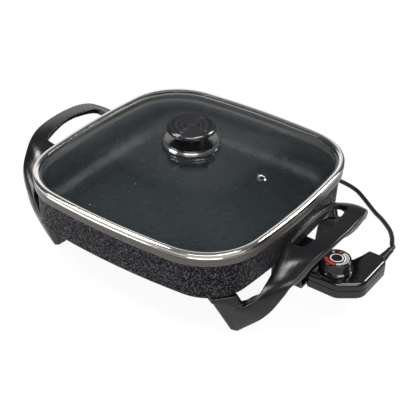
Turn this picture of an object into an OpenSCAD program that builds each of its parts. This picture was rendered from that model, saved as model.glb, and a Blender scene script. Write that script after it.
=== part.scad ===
// Electric skillet: rounded-square pan, lift-off domed glass lid, two one-piece
// moulded handles with legs, and a plug-in heat control with its cord.
// Millimetres, +Z up, standing on z = 0.

/* [Pan] */
// Half the width of the lid band and of the pan's lip, side to side
half_w = 154; // [140:1:170]
// Corner radius of that outline
corner_r = 74.6; // [60:0.2:85]
// How far each side bows outwards between its corners
side_bow = 3.6; // [2:0.2:6]
// Height of the pan's underside above the table
pan_z = 57; // [55:0.5:60]
// Height of the pan from its underside to the top of its lip
pan_h = 55.7; // [52:0.1:60]
// Thickness of the pan's wall
pan_wall = 4; // [3:0.1:5]
// Thickness of the pan's floor
pan_floor = 4; // [3:0.1:6]
// How much the wall leans in from lip to base
pan_draft = 3.5; // [2:0.5:6]
// Radius between the wall and the floor inside the pan
inner_fillet = 22; // [12:1:26]
// Corner radius of the outline at the pan's base
base_corner_r = 62; // [52:0.2:74]
// Radius of the outer bottom edge
base_fillet = 6; // [3:0.5:8]
// How far the rolled lip stands out from the wall
lip_out = 3.6; // [2:0.2:5]
// Height of the lip's outer face
lip_h = 8.4; // [4:0.2:10]

/* [Heating element] */
// Radius of the element's loop
loop_r = 84; // [74:1:92]
// Radius of the sheath
sheath_r = 3.25; // [3:0.05:3.6]
// Radius of the bend from the loop into each cold end
bend_r = 16; // [12:1:20]
// Half the distance between the two terminal pins
pin_half_gap = 13.5; // [12:0.5:15]
// Radius of a terminal pin
pin_r = 2.4; // [2:0.1:2.8]
// Height of the pins and the sensor rod above the table
axis_z = 46; // [45.5:0.5:46.5]

/* [Socket] */
// Reach of the socket guard beyond the lid's edge
socket_reach = 20; // [18:1:22]
// Half the width of the socket guard
socket_half_w = 32; // [30:0.5:36]
// Wall of the socket guard
socket_wall = 3; // [2.4:0.2:4]
// Height of the guard's underside above the table
socket_z = 34; // [33:0.5:36]

/* [Handles] */
// Reach of each grip beyond the lid's edge
grip_reach = 55; // [46:1:66]
// Height of the grip's outer edge above the table
grip_z = 110; // [104:1:114]
// Thickness of the moulding at the grip
grip_t = 6; // [5:0.2:8]
// Half the distance between the feet of one handle
foot_half_gap = 96; // [90:1:102]
// How far the feet stand inside the lid's edge
foot_x = 27; // [22:1:32]
// Half the length of the finger slot
slot_half_l = 48; // [40:1:54]
// Width of the finger slot
slot_w = 25; // [20:1:28]

/* [Lid] */
// Height of the lid's steel band
band_h = 7.5; // [6:0.5:9]
// Thickness of the band's sheet
band_t = 0.8; // [0.6:0.1:1.2]
// Width of the band's upper flange
band_flange = 6.5; // [5:0.5:9]
// Thickness of the glass
glass_t = 4; // [3:0.2:5]
// Rise of the glass dome
dome_rise = 26; // [18:1:32]
// Radius of the vent hole
vent_r = 3.4; // [2.5:0.1:4.5]

/* [Knob] */
// Radius of the steel trim ring
ring_r = 34; // [30:0.5:38]
// Radius of the knob's top disc
disc_r = 28.5; // [24:0.5:32]
// Height of the whole knob above the glass
knob_h = 25; // [22:0.5:30]
// Radius of the knob's waist
waist_r = 13; // [10:0.5:16]

/* [Control] */
// Height of the control's underside above the table
control_z = 35.5; // [33:0.5:37]
// Thickness of the control's case
control_h = 21; // [20:0.5:24]
// Reach of the control behind its face
control_reach = 61.5; // [55.5:0.5:69.5]
// Half the width of the control's main block
control_half_w = 24; // [23:0.5:27]
// Length of the arm that carries the cord, from the centre line
arm_l = 54; // [46:1:60]
// Width of that arm
arm_w = 23; // [20:0.5:26]
// Wall of the control's case
case_wall = 1.8; // [1.5:0.1:2.4]
// Distance of the dial's axis behind that face
dial_x = 22.5; // [20.5:0.5:25.5]
// Radius of the dial's face
dial_r = 16.3; // [14:0.1:18]
// Height of the dial
dial_h = 14; // [11:0.5:16]
// Radius of the sensor rod
rod_r = 3.2; // [2.8:0.1:3.6]
// Length of the sensor rod in front of the contact block
rod_l = 42; // [30:1:46]

/* [Cord] */
// Diameter of the cord
cord_d = 5.6; // [5:0.1:6.4]
// Length of the strain relief outside the case
relief_l = 28; // [24:1:34]

/* [Hidden] */
$fn = 64;

// Reaches from the pan's centre
leg_x = half_w - foot_x;
grip_end = half_w + grip_reach;
socket_end = half_w + socket_reach;
case_gap = 2.5;
case_x = socket_end + case_gap;
dial_at = case_x + dial_x;
control_end = case_x + control_reach;

// The origin is under the middle of the rigid object, so the pan stands a little to the left.
pan_x = (grip_end - control_end) / 2;

// Plan of the pan and lid: four shallow side arcs joined by four corner arcs.
side_run = half_w - corner_r;
side_r = (side_run * side_run + side_bow * side_bow) / (2 * side_bow);

// Heights and insets of the pan
seat_gap = 0.3;
lip_inset = 0.8;
lip_roll = 1.2;
pan_top = pan_z + pan_h;
floor_z = pan_z + pan_floor;
wall_top_d = -lip_inset - lip_out;
wall_base_d = wall_top_d - pan_draft;

// Element, pins and socket
loop_z = pan_z - 6.5;
ridge_w = 12;
ridge_z = loop_z - 1;
fit = 0.05;
run_fit = 0.08;
bend_c = [sqrt(pow(loop_r + bend_r, 2) - pow(pin_half_gap + bend_r, 2)), pin_half_gap + bend_r];
bend_a = atan2(bend_c.y, bend_c.x);
leg_flat_x = bend_c.x + 8;
leg_drop_x = leg_flat_x + 12;
pin_x = half_w - 20;
pin_tip = socket_end - 10;
guard_back = half_w - 18;
ear_x = guard_back - 18;
ear_w = 16;
guide_r = rod_r + run_fit;
guide_wall = 0.9;
guide_x = guard_back - 44;
boss_r = 8;
boss_x = guide_x - 4;
bush_wall = 2.6;

// Lid heights
band_z = pan_top + seat_gap;
lid_top = band_z + band_h;
seal_t = 1.2;
edge_gap = 1;
glass_z = band_z + band_t + seal_t;
glass_half = half_w - band_t - edge_gap;
glass_top = glass_z + dome_rise + glass_t;
flat_share = 1 - (band_flange + 1 - band_t - edge_gap) / glass_half;
crown_share = (ring_r + 2) / glass_half;
vent_at = [97.5, -2.3];
knob_bore = 3;

// Control heights and places
control_top = control_z + control_h;
split_z = control_z + 0.55 * control_h;
block_x = guard_back + socket_wall + case_gap;
block_end = case_x + 13.5;
block_l = block_end - block_x;
block_half_w = 19;
block_top = axis_z + 4.7;
block_z = axis_z - 4.7;
arm_x = control_end - arm_w / 2;
exit_z = control_z + control_h / 2;
screw_at = [[dial_at + 3, -18.5], [dial_at + 3, 22], [control_end - 6, arm_l - 16]];
lamp_at = [control_end - 10.5, -1.5];
lamp_turn = -15;
shaft_r = 2.9;

function unit(v) = v / norm(v);
function arc(c, r, a0, a1, n) =
  [for (i = [0:n]) let (a = a0 + (a1 - a0) * i / n) c + r * [cos(a), sin(a)]];

// Points of the rounded-square plan with corners of radius r, inset by d, n steps to each arc.
function plan(d, n, r = corner_r) =
  let (
    join_a = 45 + asin((half_w - side_r) / (side_r - r) / sqrt(2)),
    c = (side_r - r) * sin(join_a)
  )
  [for (k = [0:3]) let (q = 90 * k)
    for (p = concat(
      [for (i = [0:n - 1]) let (a = -join_a + 2 * join_a * i / n)
        [half_w - side_r, 0] + (side_r - d) * [cos(a), sin(a)]],
      [for (i = [0:n - 1]) let (a = join_a + (90 - 2 * join_a) * i / n)
        [c, c] + (r - d) * [cos(a), sin(a)]]))
      [p.x * cos(q) - p.y * sin(q), p.x * sin(q) + p.y * cos(q)]];

// A polygon's corners rounded by the radii in r, n steps to each.
function rounded(p, r, n = 4) = [
  for (i = [0:len(p) - 1])
    let (
      a = unit(p[(i + len(p) - 1) % len(p)] - p[i]),
      b = unit(p[(i + 1) % len(p)] - p[i]),
      half = acos(a * b) / 2,
      c = p[i] + unit(a + b) * r[i] / sin(half),
      s = p[i] + a * r[i] / tan(half) - c,
      e = p[i] + b * r[i] / tan(half) - c,
      s_a = atan2(s.y, s.x),
      turn = (atan2(e.y, e.x) - s_a + 540) % 360 - 180
    )
    for (j = [0:n]) c + r[i] * [cos(s_a + turn * j / n), sin(s_a + turn * j / n)]
];

// An anticlockwise polygon drawn in by d.
function drawn_in(p, d) = [
  for (i = [0:len(p) - 1])
    let (
      u = unit(p[i] - p[(i + len(p) - 1) % len(p)]),
      v = unit(p[(i + 1) % len(p)] - p[i]),
      m = [-u.y, u.x],
      n = [-v.y, v.x]
    )
    p[i] + d * (m + n) / (1 + m * n)
];

// A curve through points, with n steps to each span.
function smooth(p, n) = concat(
  [for (i = [0:len(p) - 2])
    let (a = p[max(i - 1, 0)], b = p[i], c = p[i + 1], d = p[min(i + 2, len(p) - 1)])
    for (j = [0:n - 1])
      let (t = j / n)
      0.5 * (2 * b + (c - a) * t + (2 * a - 5 * b + 4 * c - d) * t * t
             + (3 * b - a - 3 * c + d) * t * t * t)],
  [p[len(p) - 1]]);

function lifted(p, z) = [for (q = p) [q.x, q.y, z]];

// A closed skin over a list of rings that all have as many points.
module skin(rings) {
  n = len(rings[0]);
  m = len(rings);
  polyhedron(
    points = [for (r = rings) for (q = r) q],
    faces = concat(
      [[for (i = [0:n - 1]) i]],
      [for (j = [0:m - 2]) for (i = [0:n - 1]) let (k = (i + 1) % n)
        for (f = [[j * n + i, (j + 1) * n + i, j * n + k],
                  [j * n + k, (j + 1) * n + i, (j + 1) * n + k]]) f],
      [[for (i = [n - 1:-1:0]) (m - 1) * n + i]]));
}

// Rings of a round tube of radius r along a path.
function tube_rings(path, r, sides) = [
  for (i = [0:len(path) - 1])
    let (
      t = unit(path[min(i + 1, len(path) - 1)] - path[max(i - 1, 0)]),
      u = unit(cross([0, 0, 1], t)),
      v = cross(t, u)
    )
    [for (k = [0:sides - 1]) let (a = 360 * k / sides) path[i] + r * (cos(a) * u + sin(a) * v)]
];

// The skin of a closed loop of rings, such as a profile carried round the plan.
module loop_skin(rings) {
  n = len(rings[0]);
  m = len(rings);
  polyhedron(
    points = [for (r = rings) for (q = r) q],
    faces = [for (j = [0:m - 1]) for (i = [0:n - 1])
      let (k = (i + 1) % n, a = j * n, b = ((j + 1) % m) * n)
      for (f = [[a + i, a + k, b + i], [a + k, b + k, b + i]]) f]);
}

// A profile of (inset, height) points carried round the plan.
module round_plan(profile, n = 5) {
  turns = [for (p = profile) lifted(plan(-p.x, n), p.y)];
  loop_skin([for (i = [0:len(turns[0]) - 1]) [for (t = turns) t[i]]]);
}

module along_x(x0, y, z, l, r) {
  translate([x0, y, z]) rotate([0, 90, 0]) cylinder(h = l, r = r);
}

// ---------------------------------------------------------------- pan

// The pan's section as inset and height: from its underside, out, over the lip and back to its floor.
function pan_profile() =
  let (inner_base_d = wall_base_d - pan_wall)
  concat(
    arc([wall_base_d - base_fillet, pan_z + base_fillet], base_fillet, -90, 0, 4),
    [[wall_top_d, pan_top - lip_h - 1.5],
     [-lip_inset - 0.8, pan_top - lip_h - 0.4],
     [-lip_inset, pan_top - lip_h + 0.6]],
    arc([-lip_inset - lip_roll, pan_top - lip_roll], lip_roll, 0, 90, 2),
    arc([wall_top_d - pan_wall + lip_roll, pan_top - lip_roll], lip_roll, 90, 180, 2),
    arc([inner_base_d - inner_fillet, floor_z + inner_fillet], inner_fillet, 0, -90, 6));

// The element's centre line: one cold end, a bend, the loop, a bend and the other cold end.
function mirrored(p) = [for (i = [len(p) - 1:-1:0]) [p[i].x, -p[i].y, p[i].z]];
cold_end = [[pin_x, pin_half_gap, axis_z], [leg_drop_x + 2, pin_half_gap, axis_z],
            [leg_drop_x - 2, pin_half_gap, axis_z + 1.2], [leg_flat_x + 2, pin_half_gap, loop_z - 1.2],
            [leg_flat_x - 2, pin_half_gap, loop_z]];
bend = lifted(arc(bend_c, bend_r, 270, 180 + bend_a, 5), loop_z);
half_loop = lifted(arc([0, 0], loop_r, bend_a, 180, 24), loop_z);
element_path = concat(
  cold_end, bend, [for (i = [1:23]) half_loop[i]], mirrored([for (i = [1:24]) half_loop[i]]),
  mirrored(bend), mirrored(cold_end));

// The corners are rounder at the lip than at the base.
function pan_ring(p) =
  let (up = max(0, min(1, (p.y - pan_z) / (pan_h - lip_h))))
  lifted(plan(-p.x, 5, base_corner_r + (corner_r - base_corner_r) * up), p.y);

module handle_screw_places() {
  for (x = [-1, 1], y = [-1, 1]) translate([x * lug_at.x, y * lug_at.y, 0]) children();
}

module guard_screw_places() {
  for (s = [-1, 1]) translate([ear_x + 7, s * (socket_half_w - ear_w / 2), 0]) children();
}

module pan_body() color("#2b2c2e") translate([pan_x, 0, 0]) difference() {
  union() {
    skin([for (p = pan_profile()) pan_ring(p)]);
    rotate(bend_a + 5) rotate_extrude(angle = 350 - 2 * bend_a)
      translate([loop_r - ridge_w / 2, ridge_z]) square([ridge_w, pan_z + 1 - ridge_z]);
    translate([boss_x, -boss_r + 2, axis_z]) cube([pin_x - boss_x, 2 * boss_r - 4, pan_z + 1 - axis_z]);
    along_x(boss_x, 0, axis_z, pin_x - boss_x, boss_r);
  }
  rotate(bend_a + 4) rotate_extrude(angle = 352 - 2 * bend_a)
    translate([loop_r, loop_z]) circle(r = sheath_r + seat_gap);
  along_x(guide_x, 0, axis_z, pin_x - guide_x + 1, guide_r + guide_wall + fit);
  handle_screw_places() translate([0, 0, pan_z - 1]) cylinder(h = 4.2, r = screw_r + fit);
  guard_screw_places() translate([0, 0, pan_z - 1]) cylinder(h = 4, r = screw_r + fit);
}

module heating_element() color("#8d8f92") translate([pan_x, 0, 0])
  skin(tube_rings(element_path, sheath_r, 8));

module terminal_pins() color("#c9b37a") translate([pan_x, 0, 0])
  for (s = [-1, 1]) {
    along_x(pin_x, s * pin_half_gap, axis_z, pin_tip - pin_x - 1.5, pin_r);
    translate([pin_tip - 1.5, s * pin_half_gap, axis_z]) rotate([0, 90, 0])
      cylinder(h = 1.5, r1 = pin_r, r2 = pin_r - 1);
  }

module terminal_bushings() color("#e9e4d6") translate([pan_x, 0, 0])
  for (s = [-1, 1]) difference() {
    union() {
      along_x(pin_x, s * pin_half_gap, axis_z, guard_back + socket_wall + 1.8 - pin_x, pin_r + bush_wall);
      along_x(guard_back + socket_wall, s * pin_half_gap, axis_z, 1.8, pin_r + bush_wall + 1.2);
    }
    along_x(pin_x - 1, s * pin_half_gap, axis_z, 20, pin_r + fit / 5);
  }

module sensor_guide() color("#a9abae") translate([pan_x, 0, 0]) difference() {
  along_x(guide_x, 0, axis_z, guard_back + socket_wall - guide_x, guide_r + guide_wall);
  along_x(guide_x + guide_wall, 0, axis_z, 60, guide_r);
}

module socket_guard() color("#17181a") translate([pan_x, 0, 0]) difference() {
  in_w = socket_half_w - socket_wall;
  in_low = socket_z + socket_wall;
  in_top = pan_z - socket_wall;
  union() {
    translate([guard_back, 0, 0]) rotate([90, 0, 90]) linear_extrude(socket_end - guard_back)
      polygon(rounded(
        [[-socket_half_w, pan_z], [-socket_half_w, socket_z], [socket_half_w, socket_z],
         [socket_half_w, pan_z]], [0.01, 5, 5, 0.01], 3));
    for (s = [0, 1]) mirror([0, s, 0])
      translate([ear_x, socket_half_w - ear_w, pan_z - socket_wall])
        cube([guard_back - ear_x + 1, ear_w, socket_wall]);
  }
  translate([guard_back + socket_wall, 0, 0]) rotate([90, 0, 90]) linear_extrude(80)
    polygon(rounded([[-in_w, in_top], [-in_w, in_low], [in_w, in_low], [in_w, in_top]], [1, 3, 3, 1], 3));
  for (s = [-1, 1]) along_x(guard_back - 1, s * pin_half_gap, axis_z, 9, pin_r + bush_wall + fit);
  along_x(guard_back - 1, 0, axis_z, 9, guide_r + guide_wall + fit);
  guard_screw_places() cylinder(h = 2 * pan_z, r = screw_r + 0.1);
}

screw_r = 2.1;
screw_head_r = 4;
screw_head_h = 2.6;

// A pan-head screw pointing up, whose head bears at z = 0.
module screw(l) {
  cylinder(h = l, r = screw_r);
  difference() {
    rotate_extrude() polygon(concat(
      [[0, 0], [0, -screw_head_h]],
      arc([screw_head_r - 1.4, -screw_head_h + 1.4], 1.4, -90, 0, 3),
      [[screw_head_r, 0]]));
    for (a = [0, 90]) rotate(a) translate([-2.2, -0.4, -screw_head_h - 1]) cube([4.4, 0.8, 2.3]);
  }
}

module guard_screws() color("#b9bbbe") translate([pan_x, 0, 0])
  guard_screw_places() translate([0, 0, pan_z - socket_wall]) screw(socket_wall + 2.8);

// ------------------------------------------------------------ handles

lug_at = [half_w - 42, half_w - 42];
lug_t = 6;
lug_boss_r = 9.5;
plate_r = 4;

// From a foot to the middle of the grip: inner edge, outer edge and thickness of the moulding.
handle_rows = [
  [[leg_x, foot_half_gap + 1, 0], [leg_x + 10, foot_half_gap, 0], 13],
  [[leg_x, foot_half_gap + 7, 14], [leg_x + 23, foot_half_gap + 0.5, 14], 14],
  [[leg_x + 1, foot_half_gap + 12, 28], [leg_x + 38, foot_half_gap - 0.5, 30], 14],
  [[leg_x + 11, foot_half_gap + 13, 40], [leg_x + 47.5, foot_half_gap - 2.5, 43.5], 13],
  [[half_w - 3, foot_half_gap + 8, 49], [grip_end - 28, foot_half_gap - 5.5, 56], grip_t + 6],
  [[half_w + 6, foot_half_gap + 3.5, 60], [grip_end - 22, foot_half_gap - 8, 69], grip_t + 5],
  [[half_w + 9, foot_half_gap - 3, 72], [grip_end - 17.5, foot_half_gap - 13, grip_z - 28], grip_t + 4.5],
  [[half_w + 10.5, foot_half_gap - 14, 83], [grip_end - 12, foot_half_gap - 24, grip_z - 17.5], grip_t + 4],
  [[half_w + 9, foot_half_gap - 30, 94], [grip_end - 7, foot_half_gap - 40, grip_z - 5], grip_t + 2.5],
  [[half_w + 4, foot_half_gap - 56, 103], [grip_end - 2, foot_half_gap - 62, grip_z + 0.5], grip_t],
  [[half_w + 2, 0, 106.5], [grip_end, 0, grip_z + 2], grip_t - 1]
];

function mirrored_row(r, s) = [[r[0].x, s * r[0].y, r[0].z], [r[1].x, s * r[1].y, r[1].z], r[2]];

// One closed section of the moulding: a shallow crown outside, rounded edges, t thick.
crown = 2.2;
section_v = [0, 0.06, 0.3, 0.7, 0.94, 1];
section_e = [0.22, 0.03, 0, 0, 0.03, 0.22];
function handle_section(i, o, t, n) = [
  for (k = [0:5]) let (v = section_v[k])
    i + v * (o - i) + n * (section_e[k] * t - crown * 4 * v * (1 - v)),
  for (k = [5:-1:0]) let (v = section_v[k])
    i + v * (o - i) + n * ((1 - section_e[k]) * t - crown * 4 * v * (1 - v))
];

module handle_loft() {
  half = [for (r = handle_rows) mirrored_row(r, -1)];
  rows = concat(half, [for (i = [len(half) - 2:-1:0]) mirrored_row(half[i], -1)]);
  inner = smooth([for (r = rows) r[0]], 2);
  outer = smooth([for (r = rows) r[1]], 2);
  thick = smooth([for (r = rows) r[2]], 2);
  last = len(inner) - 1;
  skin([for (i = [0:last])
    let (
      along = i == 0 ? [0, 0, 1] : i == last ? [0, 0, -1]
        : inner[i + 1] + outer[i + 1] - inner[i - 1] - outer[i - 1],
      n = unit(cross(along, outer[i] - inner[i]))
    )
    handle_section(inner[i], outer[i], thick[i], n)]);
}

// The plate under one corner of the pan, from the leg up to the boss that the screw holds
module handle_lug() {
  top = pan_z - plate_r;
  difference() {
    union() {
      hull() {
        translate([leg_x - 1, foot_half_gap + 4, 16]) sphere(r = plate_r, $fn = 12);
        translate([leg_x - 5.5, foot_half_gap + 27, top + 2]) sphere(r = plate_r, $fn = 12);
        translate([leg_x + 9, foot_half_gap + 10, top + 2]) sphere(r = plate_r, $fn = 12);
        translate([leg_x + 15, foot_half_gap + 6, 42]) sphere(r = plate_r, $fn = 12);
      }
      hull() {
        translate([leg_x - 5.5, foot_half_gap + 27, top]) sphere(r = plate_r, $fn = 12);
        translate([leg_x + 9, foot_half_gap + 10, top]) sphere(r = plate_r, $fn = 12);
        translate([lug_at.x, lug_at.y, pan_z - lug_t]) cylinder(h = lug_t, r = lug_boss_r, $fn = 24);
      }
    }
    translate([60, 60, pan_z]) cube([120, 120, 40]);
    translate([lug_at.x, lug_at.y, 0]) cylinder(h = pan_z + 1, r = screw_r + 0.1);
    translate([lug_at.x, lug_at.y, pan_z - lug_t - 40]) cylinder(h = 40, r = screw_head_r + 1);
  }
}

module handle_right_solid() {
  slot_in = half_w + 11;
  slot_r = 0.4 * (slot_w - 6);
  difference() {
    union() {
      handle_loft();
      for (s = [0, 1]) mirror([0, s, 0]) handle_lug();
    }
    linear_extrude(200) polygon(rounded(
      [[slot_in, -slot_half_l], [slot_in + slot_w - 6, -slot_half_l], [slot_in + slot_w + 2, 0],
       [slot_in + slot_w - 6, slot_half_l], [slot_in, slot_half_l]],
      [slot_r, slot_r, 90, slot_r, slot_r], 5));
  }
}

module handle_right() color("#1c1c1e") translate([pan_x, 0, 0]) handle_right_solid();
module handle_left() color("#1c1c1e") translate([pan_x, 0, 0]) mirror([1, 0, 0]) handle_right_solid();

module handle_screws() color("#b9bbbe") translate([pan_x, 0, 0])
  handle_screw_places() translate([0, 0, pan_z - lug_t]) screw(lug_t + 3);

// ---------------------------------------------------------------- lid

// Height of the glass's underside at a share of the way from the centre to its edge.
function dome(share) = share >= flat_share ? 0
  : dome_rise * (1 - pow(max(0, share - crown_share) / (flat_share - crown_share), 2));

module lid_glass() color("#9fb4b2", 0.45) translate([pan_x, 0, 0]) difference() {
  edge = plan(half_w - glass_half, 5);
  steps = 6;
  shares = concat([for (i = [0:steps]) crown_share + (flat_share - crown_share) * i / steps], [1]);
  under = [for (s = shares) lifted(edge * s, glass_z + dome(s))];
  over = [for (i = [len(shares) - 1:-1:0]) lifted(edge * shares[i], glass_z + dome(shares[i]) + glass_t)];
  skin(concat(under, over));
  cylinder(h = 300, r = knob_bore + 1);
  translate([vent_at.x, vent_at.y, 0]) cylinder(h = 300, r = vent_r);
}

module lid_band() color("#c4c6c8") translate([pan_x, 0, 0]) {
  locate_d = wall_top_d - pan_wall - 0.8;
  bend = 1.6;
  round_plan(concat(
    [[0, band_z], [0, lid_top - bend], [-0.3 * bend, lid_top - 0.3 * bend], [-bend, lid_top],
     [-band_flange, lid_top], [-band_flange, lid_top - band_t], [-bend, lid_top - band_t],
     [-band_t, lid_top - bend], [-band_t, band_z + band_t], [locate_d - band_t, band_z + band_t],
     [locate_d - band_t, band_z - 2.5], [locate_d, band_z - 2.5], [locate_d, band_z]]));
}

// The bed of sealant that the glass lies in, round its edge and under it
module lid_seal() color("#55585a") translate([pan_x, 0, 0]) {
  edge_d = glass_half - half_w;
  in_d = 0.5 - band_flange;
  round_plan([
    [-band_t, band_z + band_t], [-band_t, glass_z + glass_t - 1], [edge_d, glass_z + glass_t - 1],
    [edge_d, glass_z], [in_d, glass_z], [in_d, band_z + band_t]]);
}

// The eyelet that lines the vent, rolled over the glass on both sides.
module vent_grommet() color("#d0d2d4") translate([pan_x, 0, 0]) {
  share = norm(vent_at) / glass_half;
  z = glass_z + dome(share);
  lean = atan(2 * dome_rise * (share - crown_share) / pow(flat_share - crown_share, 2) / glass_half);
  away = atan2(vent_at.y, vent_at.x);
  half = glass_t / 2 + 1.1;
  translate([vent_at.x, vent_at.y, z + glass_t / 2]) rotate([0, 0, away]) rotate([0, lean, 0])
    rotate_extrude() polygon([
      [vent_r - 1, -half], [vent_r + 1.6, -half], [vent_r + 2, -half + 0.5],
      [vent_r - 0.4, -half + 0.7], [vent_r - 0.4, half - 0.7],
      [vent_r + 2, half - 0.5], [vent_r + 1.6, half], [vent_r - 1, half]]);
}

module knob_gasket() color("#3a3c3e") translate([pan_x, 0, glass_top]) rotate_extrude()
  polygon([[ring_r - 9, 0], [ring_r - 1, 0], [ring_r - 1, 0.8], [ring_r - 9, 0.8]]);

module knob_ring() color("#b4b6b9") translate([pan_x, 0, glass_top + 0.8]) difference() {
  rotate_extrude() polygon(concat(
    [[ring_r - 8, 0]],
    arc([ring_r - 1.2, 1.2], 1.2, -90, 0, 3),
    [[ring_r - 0.8, 3.6], [ring_r - 2.4, 4.6], [ring_r - 3.2, 4.6], [ring_r - 3.2, 1], [ring_r - 8, 1]]));
  rotate(-64) translate([ring_r - 2.5, 0, 2.4]) rotate([0, 90, 0]) cylinder(h = 6, r = 1.1);
}

module knob_base() color("#1b1b1d") translate([pan_x, 0, glass_top]) difference() {
  h = knob_h - 11;
  rotate_extrude() polygon(concat(
    [[knob_bore + 0.1, 0], [ring_r - 9.2, 0], [ring_r - 9.2, 1.8], [ring_r - 3.3, 1.8], [ring_r - 3.3, 5.6]],
    [for (i = [0:6]) let (a = 90 * i / 6)
      [waist_r + (ring_r - 5 - waist_r) * (1 - sin(a)), 6.2 + (h - 7) * (1 - cos(a))]],
    [[waist_r, h], [knob_bore + 0.1, h]]));
  translate([0, 0, -1]) cylinder(h = 3.5, r = 12);
}

module knob_grip() color("#1b1b1d") translate([pan_x, 0, glass_top + knob_h - 11]) difference() {
  rotate_extrude() polygon(concat(
    [[0, 0], [waist_r - 1, 0], [waist_r - 1, 1.4], [disc_r - 7, 2.6]],
    arc([disc_r - 4, 6.4], 4, -70, 75, 7),
    [[disc_r - 5, 10.2], [disc_r - 6.2, 9.6], [disc_r - 12, 9.6], [disc_r - 12.6, 9.1],
     [disc_r - 14.4, 9.1], [disc_r - 15, 9.6], [disc_r - 18, 9.6], [disc_r - 18.6, 9.1],
     [disc_r - 19.8, 9.1], [disc_r - 20.4, 9.8], [0, 9.8]]));
  translate([0, 0, -1]) cylinder(h = 7.5, r = knob_bore + fit);
}

module knob_washer() color("#b9bbbe") translate([pan_x, 0, glass_top - glass_t - 1]) difference() {
  cylinder(h = 1, r = 9);
  translate([0, 0, -1]) cylinder(h = 3, r = knob_bore + 0.2);
}

module knob_screw() color("#b9bbbe") translate([pan_x, 0, glass_top - glass_t - 1]) {
  cylinder(h = glass_t + 1 + knob_h - 6, r = knob_bore);
  rotate_extrude() polygon([[0, 0], [6, 0], [6, -0.8], [4.6, -2.8], [0, -3.4]]);
}

// ------------------------------------------------------------ control

// Plan of the case: the main block, its cut corner and the arm that carries the cord.
case_plan = [
  [case_x, -control_half_w], [control_end - 24, -control_half_w], [control_end, -control_half_w + 18],
  [control_end, arm_l - 8], [control_end - 7, arm_l], [control_end - arm_w - 3, arm_l],
  [control_end - arm_w - 6, arm_l - 14], [control_end - arm_w - 10, control_half_w + 4],
  [case_x, control_half_w + 4]
];
case_round = [3, 9, 12, 5, 5, 4, 5, 4, 3];

// Plan of the shallow swelling under the case
belly_h = 3;
belly_r = 8;
belly_plan = [
  [dial_at + 6, -control_half_w + 5], [control_end - 18, -control_half_w + 5],
  [control_end - 8, -4], [dial_at + 6, 12]
];

module case_slab(inset, z0, z1) {
  translate([0, 0, z0]) linear_extrude(z1 - z0)
    polygon(rounded(drawn_in(case_plan, inset), [for (r = case_round) max(1, r - inset)]));
}

// One ring of the case, started on the long straight side, from where the whole outline is in sight.
case_start = 14;
function case_ring(inset, z) =
  let (p = rounded(drawn_in(case_plan, inset), [for (r = case_round) max(0.8, r - inset)]))
  lifted([for (i = [0:len(p) - 1]) p[(i + case_start) % len(p)]], z);

module case_posts(z0, z1, r) {
  for (p = screw_at) translate([p.x, p.y, z0]) cylinder(h = z1 - z0, r = r);
}

module nose_cut(gap) {
  translate([block_x, -block_half_w - gap, block_z - gap])
    cube([block_end - block_x + gap, 2 * (block_half_w + gap), block_top - block_z + gap]);
}

module relief_cut(gap) {
  translate([arm_x, relief_start, exit_z]) rotate([-90, 0, 0]) cylinder(h = 16, r = relief_r + gap);
}

relief_r = 5.4;
relief_start = arm_l - 6.2;
relief_end = arm_l + relief_l;
tip_r = 3.8;
groove = 1;

module control_base() color("#151517") translate([pan_x, 0, 0]) difference() {
  union() {
    difference() {
      union() {
        skin([case_ring(2.2, control_z), case_ring(0.6, control_z + 1), case_ring(0, control_z + 2.6),
              case_ring(0, split_z - groove), case_ring(1, split_z - groove), case_ring(1, split_z)]);
        skin([for (r = [[5, 0], [2, 1.4], [0, belly_h + 1]])
          lifted(rounded(drawn_in(belly_plan, r[0]), [for (k = [0:3]) belly_r - r[0]]),
                 control_z - belly_h + r[1])]);
      }
      case_slab(case_wall + 0.4, control_z + case_wall, split_z + 1);
    }
    case_posts(control_z + 1, split_z, 3.6);
    for (x = [case_x + 2.5, block_end - 3])
      translate([x, -block_half_w, control_z + 1]) cube([1.6, 2 * block_half_w, block_z - control_z - 1]);
    translate([lamp_at.x, lamp_at.y, control_z + 1]) cylinder(h = 3 + case_wall, r = 4);
  }
  nose_cut(0);
  relief_cut(0.05);
  case_posts(control_z - 1, split_z + 1, 1.6);
  case_posts(control_z - 1, control_z + 2.4, 3.1);
}

module control_cover() color("#151517") translate([pan_x, 0, 0]) difference() {
  union() {
    difference() {
      skin([case_ring(0, split_z), case_ring(0, control_top - 5.5), case_ring(0.7, control_top - 3.5),
            case_ring(2.8, control_top - 0.8), case_ring(4, control_top)]);
      case_slab(case_wall + 0.4, split_z - 1, control_top - case_wall);
    }
    case_posts(split_z, control_top - 1, 3.6);
    translate([dial_at, 0, control_top - case_wall - bush_boss]) cylinder(h = bush_boss + 1, r = 7.5);
  }
  nose_cut(0);
  relief_cut(0.05);
  case_posts(split_z - 1, control_top - 3.4, 1.5);
  translate([dial_at, 0, split_z]) cylinder(h = 40, r = bush_r + fit / 2);
  translate([lamp_at.x, lamp_at.y, control_top]) rotate(lamp_turn)
    cube([8 + 2 * fit, 2.6 + 2 * fit, 20], center = true);
}

module control_screws() color("#b9bbbe") translate([pan_x, 0, 0])
  for (p = screw_at) translate([p.x, p.y, control_z + 2.4]) {
    cylinder(h = control_h - 6.4, r = 1.45);
    translate([0, 0, -1.8]) difference() {
      cylinder(h = 1.8, r = 2.9);
      for (a = [0, 90]) rotate(a) translate([-1.8, -0.35, -1]) cube([3.6, 0.7, 2]);
    }
  }

sleeve_r = 3.3;
sleeve_l = pin_tip - block_x + 3.5;

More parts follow.
